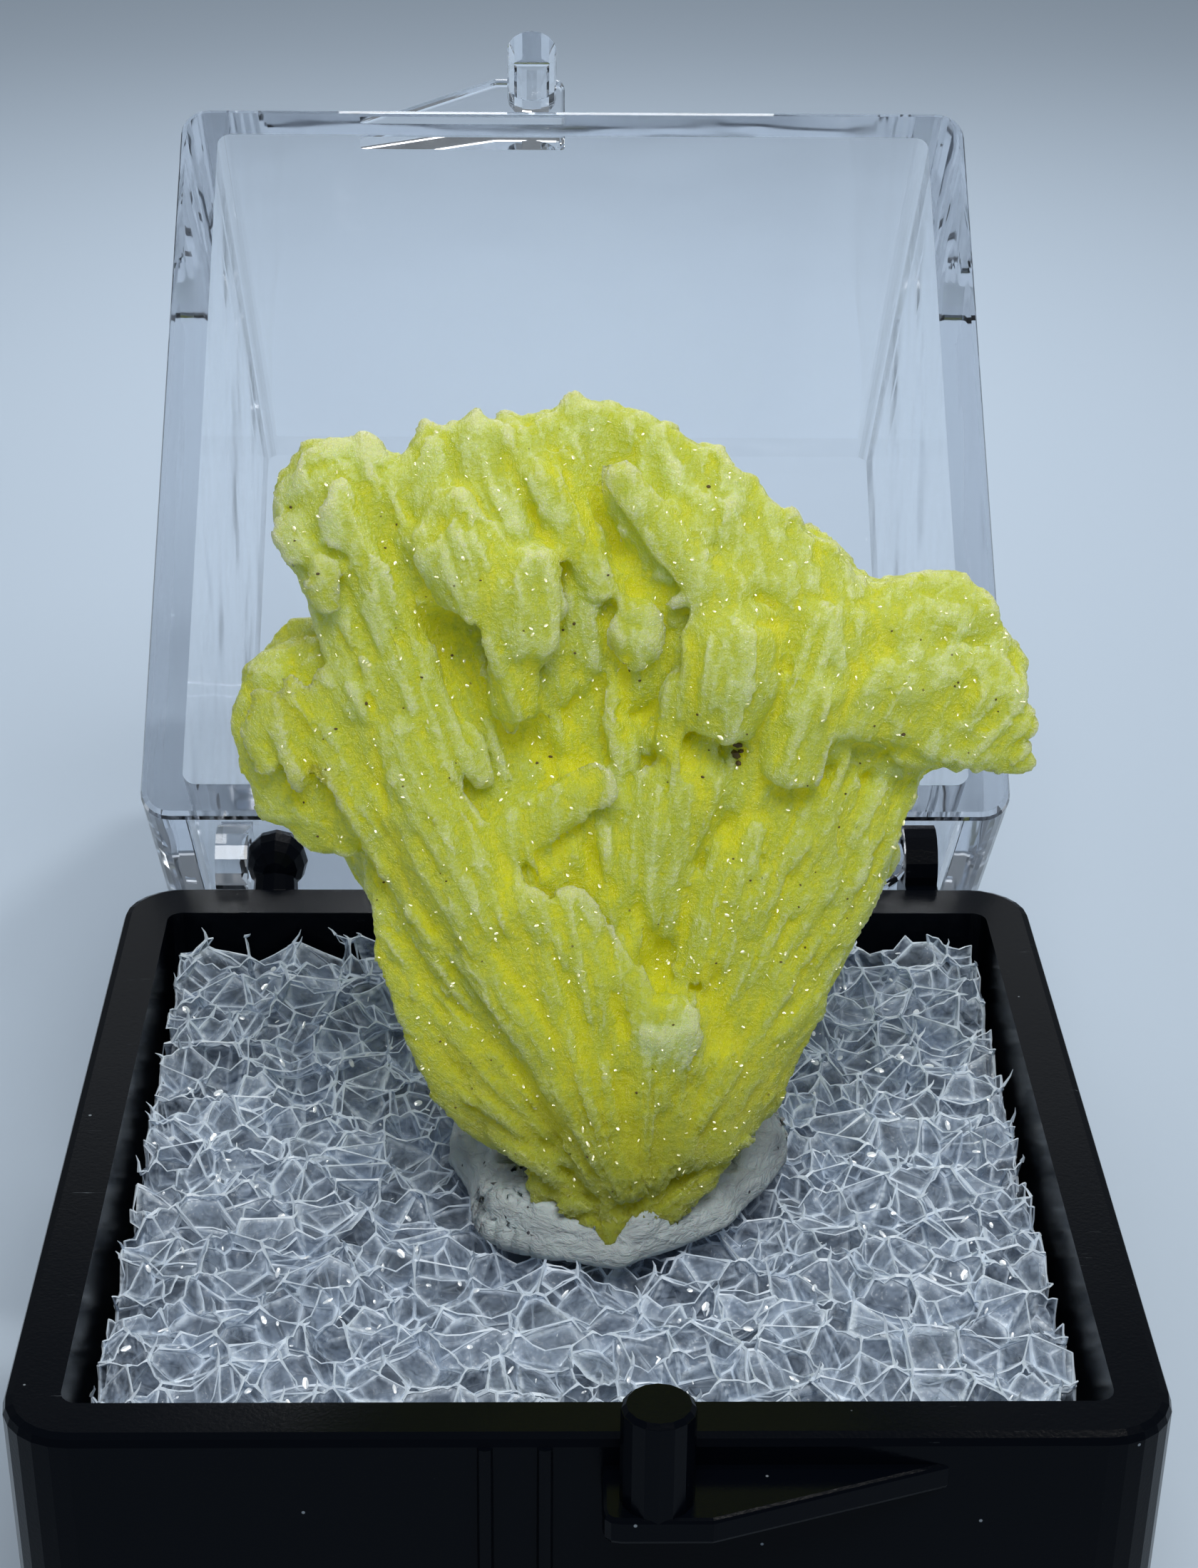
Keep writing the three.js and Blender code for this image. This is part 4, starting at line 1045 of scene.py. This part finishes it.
def fine_blades(bm, rng, number, side):
    """Small blades lying along the fan on its front or back, each set on the surface found under it."""
    surface = BVHTree.FromBMesh(bm)
    inwards = specimen_direction(0, 0, -side)
    set_down = 0
    while set_down < number:
        u = rng.uniform(*BLADES_U)
        v = rng.uniform(*BLADES_V)
        ahead = fan_direction(u, v) * rng.uniform(1.0, 3.2)
        ends = []
        for share in (0, 0.33, 0.67, 1):
            end_u = u + ahead.x * share
            end_v = v + ahead.y * share
            outside = specimen_point(end_u, end_v, CAST_FROM * side)
            hit = surface.ray_cast(outside, inwards)[0]
            if hit:
                ends.append((end_u, end_v, side * (CAST_FROM - (hit - outside).length)))
        heights = [end[2] for end in ends]
        if len(ends) < 4 or max(heights) - min(heights) > BLADE_GROUND:
            continue
        width = rng.uniform(0.22, 0.5)
        thickness = rng.uniform(0.3, 0.45)
        turn = rng.uniform(-30, 30)
        leaf(bm, ends[0], ends[-1], width, thickness, turn, BLADE_BLUNTNESS, BLADE_ROUNDS)
        set_down += 1


def smoothed(values, edges, rounds):
    """Values of a mesh's points, evened out along its edges."""
    count = len(values)
    links = numpy.bincount(edges.ravel(), minlength=count)[:, None]
    for _ in range(rounds):
        total = numpy.zeros_like(values)
        for axis in range(values.shape[1]):
            total[:, axis] += numpy.bincount(edges[:, 0], weights=values[edges[:, 1], axis], minlength=count)
            total[:, axis] += numpy.bincount(edges[:, 1], weights=values[edges[:, 0], axis], minlength=count)
        values = 0.5 * values + 0.5 * total / links
    return values


def mesh_values(items, name, width, kind=float):
    """A property of all points or edges of a mesh, as rows."""
    read = numpy.empty(len(items) * width, dtype=kind)
    items.foreach_get(name, read)
    return read.reshape(-1, width)


def stroke_distance(points, stroke):
    """How far points of the u v plane are from a stroke, as a share of its half width."""
    start = numpy.array(stroke[0:2])
    along = numpy.array(stroke[2:4]) - start
    share = numpy.clip(((points - start) @ along) / (along @ along), 0, 1)
    return numpy.linalg.norm(points - start - share[:, None] * along, axis=1) / (stroke[4] / 2)


def leafy_solid(rng):
    """The specimen's softened solid with its leaves and fine blades, and the paleness of each face."""
    base = mesh_object("sulfur_base", solid_copy("sulfur_cluster"), [])
    bm = bmesh.new()
    bm.from_mesh(remeshed(base, BASE_VOXEL, BASE_SOFTENING))
    bpy.data.objects.remove(base)
    bm.normal_update()
    front = specimen_direction(0, 0, 1)
    for vert in bm.verts:
        if vert.normal.dot(front) > 0.25:
            vert.co -= front * FRONT_SINK * vert.normal.dot(front)
    paleness = [BODY_PALENESS] * len(bm.faces)
    for fu, fv, fw, tu, tv, tw, width, thickness, turn, bluntness, pale in (
        RIDGES + MIDDLE + FLANK + FOOT_BITS + CREST + UPPER + WING + LUMPS
    ):
        width *= LEAF_WIDENING
        thickness *= LEAF_THINNING
        leaf(bm, (fu, fv, fw), (tu, tv, tw), width, thickness, turn, bluntness, LEAF_ROUNDS)
        paleness += [pale] * (len(bm.faces) - len(paleness))
    fine_blades(bm, rng, BLADES_FRONT, 1)
    fine_blades(bm, rng, BLADES_BACK, -1)
    while len(paleness) < len(bm.faces):
        paleness += [rng.uniform(*BLADE_PALENESS)] * BLADE_FACES
    return bm, paleness


def strewn(placed, number, radii, rng):
    """Placed spots as u v and radius, and a number of others anywhere on the front."""
    others = [(rng.uniform(*STREWN_U), rng.uniform(*STREWN_V), rng.uniform(*radii)) for _ in range(number)]
    return placed + others


def specks_and_glints(mesh, rng):
    """The grains of the rock and the bare facets that lie on the finished skin."""
    skin = bmesh.new()
    skin.from_mesh(mesh)
    surface = BVHTree.FromBMesh(skin)
    skin.free()
    specks = front_places(strewn(SPECKS, STREWN_SPECKS, SPECK_RADII, rng), surface)
    small_bits("sulfur_specks", grit_finish(), specks, False, rng)
    glints = front_places(strewn(GLINTS, STREWN_GLINTS, GLINT_RADII, rng), surface)
    # The near-white colour of the sulfur glints is a painted highlight on top of their real gloss
    shine = glint_finish("sulfur_glint", colour(0.8, 0.8, 0.2), colour(0.98, 0.96, 0.7))
    small_bits("sulfur_glints", shine, glints, True, rng)


def sink_hollows(places, pale, leaning, normals, front):
    """Presses the hollows into the skin and takes their paleness away."""
    facing = numpy.clip(normals @ front * 1.6, 0, 1)
    for stroke in HOLLOWS:
        near = stroke_distance(leaning[:, :2], stroke)
        sunk = numpy.clip(1 - (near / 1.3) ** 2, 0, 1) ** 2 * facing
        places -= front * (sunk * stroke[5] * HOLLOW_DEPTH)[:, None]
        pale[:, 0] += (HOLLOW_PALENESS - pale[:, 0]) * numpy.clip(1.3 - 0.7 * near, 0, 1) * facing


def lay_plates(places, pale, normals, across, along, depths):
    """Breaks the skin into crystal plates along the fan, each with its own level, tilt and paleness."""
    for index, depth in enumerate(depths):
        push = FAN_STREAKS * noise.noise(Vector((across[index] * 2.0, along[index] * 0.22, depth * 2.4)))
        for breadth, length, step, tint in PLATES:
            spot = Vector((across[index] / breadth, along[index] / length, depth / breadth))
            centre = noise.voronoi(spot)[1][0]
            own = noise.cell(centre * 13.7)
            push += step * (0.6 * own + 0.8 * (spot - centre).dot(noise.noise_vector(centre * 3.1)))
            pale[index, 0] += tint * own
        places[index] += normals[index] * push


def sulfur_piece():
    """The joined specimen with its leaves, fine blades and hollows, remeshed to one frosted skin."""
    rng = random.Random(5)
    bm, paleness = leafy_solid(rng)
    colours_from = BVHTree.FromBMesh(bm)
    piece = mesh_object("sulfur", bm, [sulfur_finish()], smooth=True)
    mesh = remeshed(piece, SULFUR_VOXEL, 0)
    thinned = piece.modifiers.new("thinned", "DECIMATE")
    thinned.ratio = SULFUR_TRIANGLES / (2 * len(mesh.polygons))
    mesh = applied(piece)

    pale = [paleness[colours_from.find_nearest(vert.co)[2]] for vert in mesh.vertices]
    edges = mesh_values(mesh.edges, "vertices", 2, int)
    pale = smoothed(numpy.array(pale)[:, None], edges, PALENESS_ROUNDS)
    places = mesh_values(mesh.vertices, "co", 3)
    normals = mesh_values(mesh.vertices, "normal", 3)

    axes = numpy.array([specimen_direction(*unit) for unit in ((1, 0, 0), (0, 1, 0), (0, 0, 1))])
    leaning = (places - numpy.array(specimen_point(0, 0, 0))) @ axes.T
    sink_hollows(places, pale, leaning, normals, axes[2])
    along = numpy.hypot(leaning[:, 0] - FAN_ROOT[0], leaning[:, 1] - FAN_ROOT[1])
    across = FAN_SPREAD * numpy.arctan2(leaning[:, 0] - FAN_ROOT[0], leaning[:, 1] - FAN_ROOT[1])
    lay_plates(places, pale, normals, across, along, leaning[:, 2])
    pale = BODY_PALENESS + (smoothed(pale, edges, 2) - BODY_PALENESS) * PALENESS_CONTRAST

    broad = ((places - smoothed(places, edges, RAISED_ROUNDS)) * normals).sum(axis=1)
    narrow = ((places - smoothed(places, edges, EDGE_ROUNDS)) * normals).sum(axis=1)
    raised = smoothed(numpy.clip(0.5 + broad / RAISED_RELIEF, 0, 1)[:, None], edges, 1)
    edge = numpy.clip(0.5 + narrow / EDGE_RELIEF, 0, 1)
    mesh.vertices.foreach_set("co", places.ravel())
    mesh.update()
    specks_and_glints(mesh, rng)
    mesh.vertices.foreach_set("co", (places * MM).ravel())
    drawn = {"pale": pale, "raised": raised, "edge": edge, "along": along, "across": across}
    for name, values in drawn.items():
        layer = mesh.attributes.new(name, "FLOAT", "POINT")
        layer.data.foreach_set("value", values.ravel())
    mesh.update()
    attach(piece, "box")
    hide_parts("sulfur_cluster")


# Camera and lights
def camera():
    """The photograph's own view."""
    data = bpy.data.cameras.new("camera")
    data.sensor_fit = "VERTICAL"
    data.sensor_height = SENSOR_LONG_SIDE
    data.sensor_width = SENSOR_LONG_SIDE
    data.lens = FOCAL_PIXELS / PICTURE_LONG_SIDE * SENSOR_LONG_SIDE
    data.clip_start = NEAREST_SEEN * MM
    yaw = Matrix.Rotation(CAMERA_YAW, 3, "Z")
    forward = yaw @ Vector((0, math.cos(CAMERA_PITCH), -math.sin(CAMERA_PITCH)))
    up = yaw @ Vector((0, math.sin(CAMERA_PITCH), math.cos(CAMERA_PITCH)))
    right = yaw @ Vector((1, 0, 0))
    rolled_right = math.cos(CAMERA_ROLL) * right + math.sin(CAMERA_ROLL) * up
    rolled_up = -math.sin(CAMERA_ROLL) * right + math.cos(CAMERA_ROLL) * up
    seer = bpy.data.objects.new("camera", data)
    turn = Matrix((rolled_right, rolled_up, -forward)).transposed().to_4x4()
    seer.matrix_world = Matrix.Translation(CAMERA_PLACE * MM) @ turn
    bpy.context.scene.collection.objects.link(seer)
    bpy.context.scene.camera = seer


def soft_light(name, place, aim, size, watts, tint):
    """A rectangular light that isn't seen itself."""
    data = bpy.data.lights.new(name, "AREA")
    data.shape = "RECTANGLE"
    data.size = size[0] * MM
    data.size_y = size[1] * MM
    data.energy = watts
    data.color = tint
    lamp = bpy.data.objects.new(name, data)
    lamp.location = Vector(place) * MM
    lamp.rotation_euler = (Vector(aim) - Vector(place)).to_track_quat("-Z", "Y").to_euler()
    lamp.visible_camera = False
    bpy.context.scene.collection.objects.link(lamp)


def studio():
    """Plain pale floor, even light from all round and the soft lights."""
    floor = bmesh.new()
    bmesh.ops.create_grid(floor, x_segments=2, y_segments=2, size=TABLE_REACH * MM)
    mesh_object("table_top", floor, [table_top()])
    world = bpy.data.worlds.new("room")
    world.use_nodes = True
    background = world.node_tree.nodes["Background"]
    background.inputs["Color"].default_value = colour(0.84, 0.92, 1.0)
    background.inputs["Strength"].default_value = ROOM_LIGHT
    bpy.context.scene.world = world
    for light in LIGHTS:
        soft_light(*light)


camera()
studio()

for node, plastic in (("base_tray", black_plastic()), ("lid", clear_plastic())):
    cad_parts[node].data.materials.clear()
    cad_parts[node].data.materials.append(plastic)
putty_piece()
sulfur_piece()
foam_piece()

scene = bpy.context.scene
scene.view_settings.view_transform = "Standard"
# Light is led along the clear walls by many inner reflections before it leaves at an edge
scene.cycles.max_bounces = CLEAR_WALL_BOUNCES
scene.cycles.glossy_bounces = CLEAR_WALL_BOUNCES
scene.cycles.transmission_bounces = CLEAR_WALL_BOUNCES
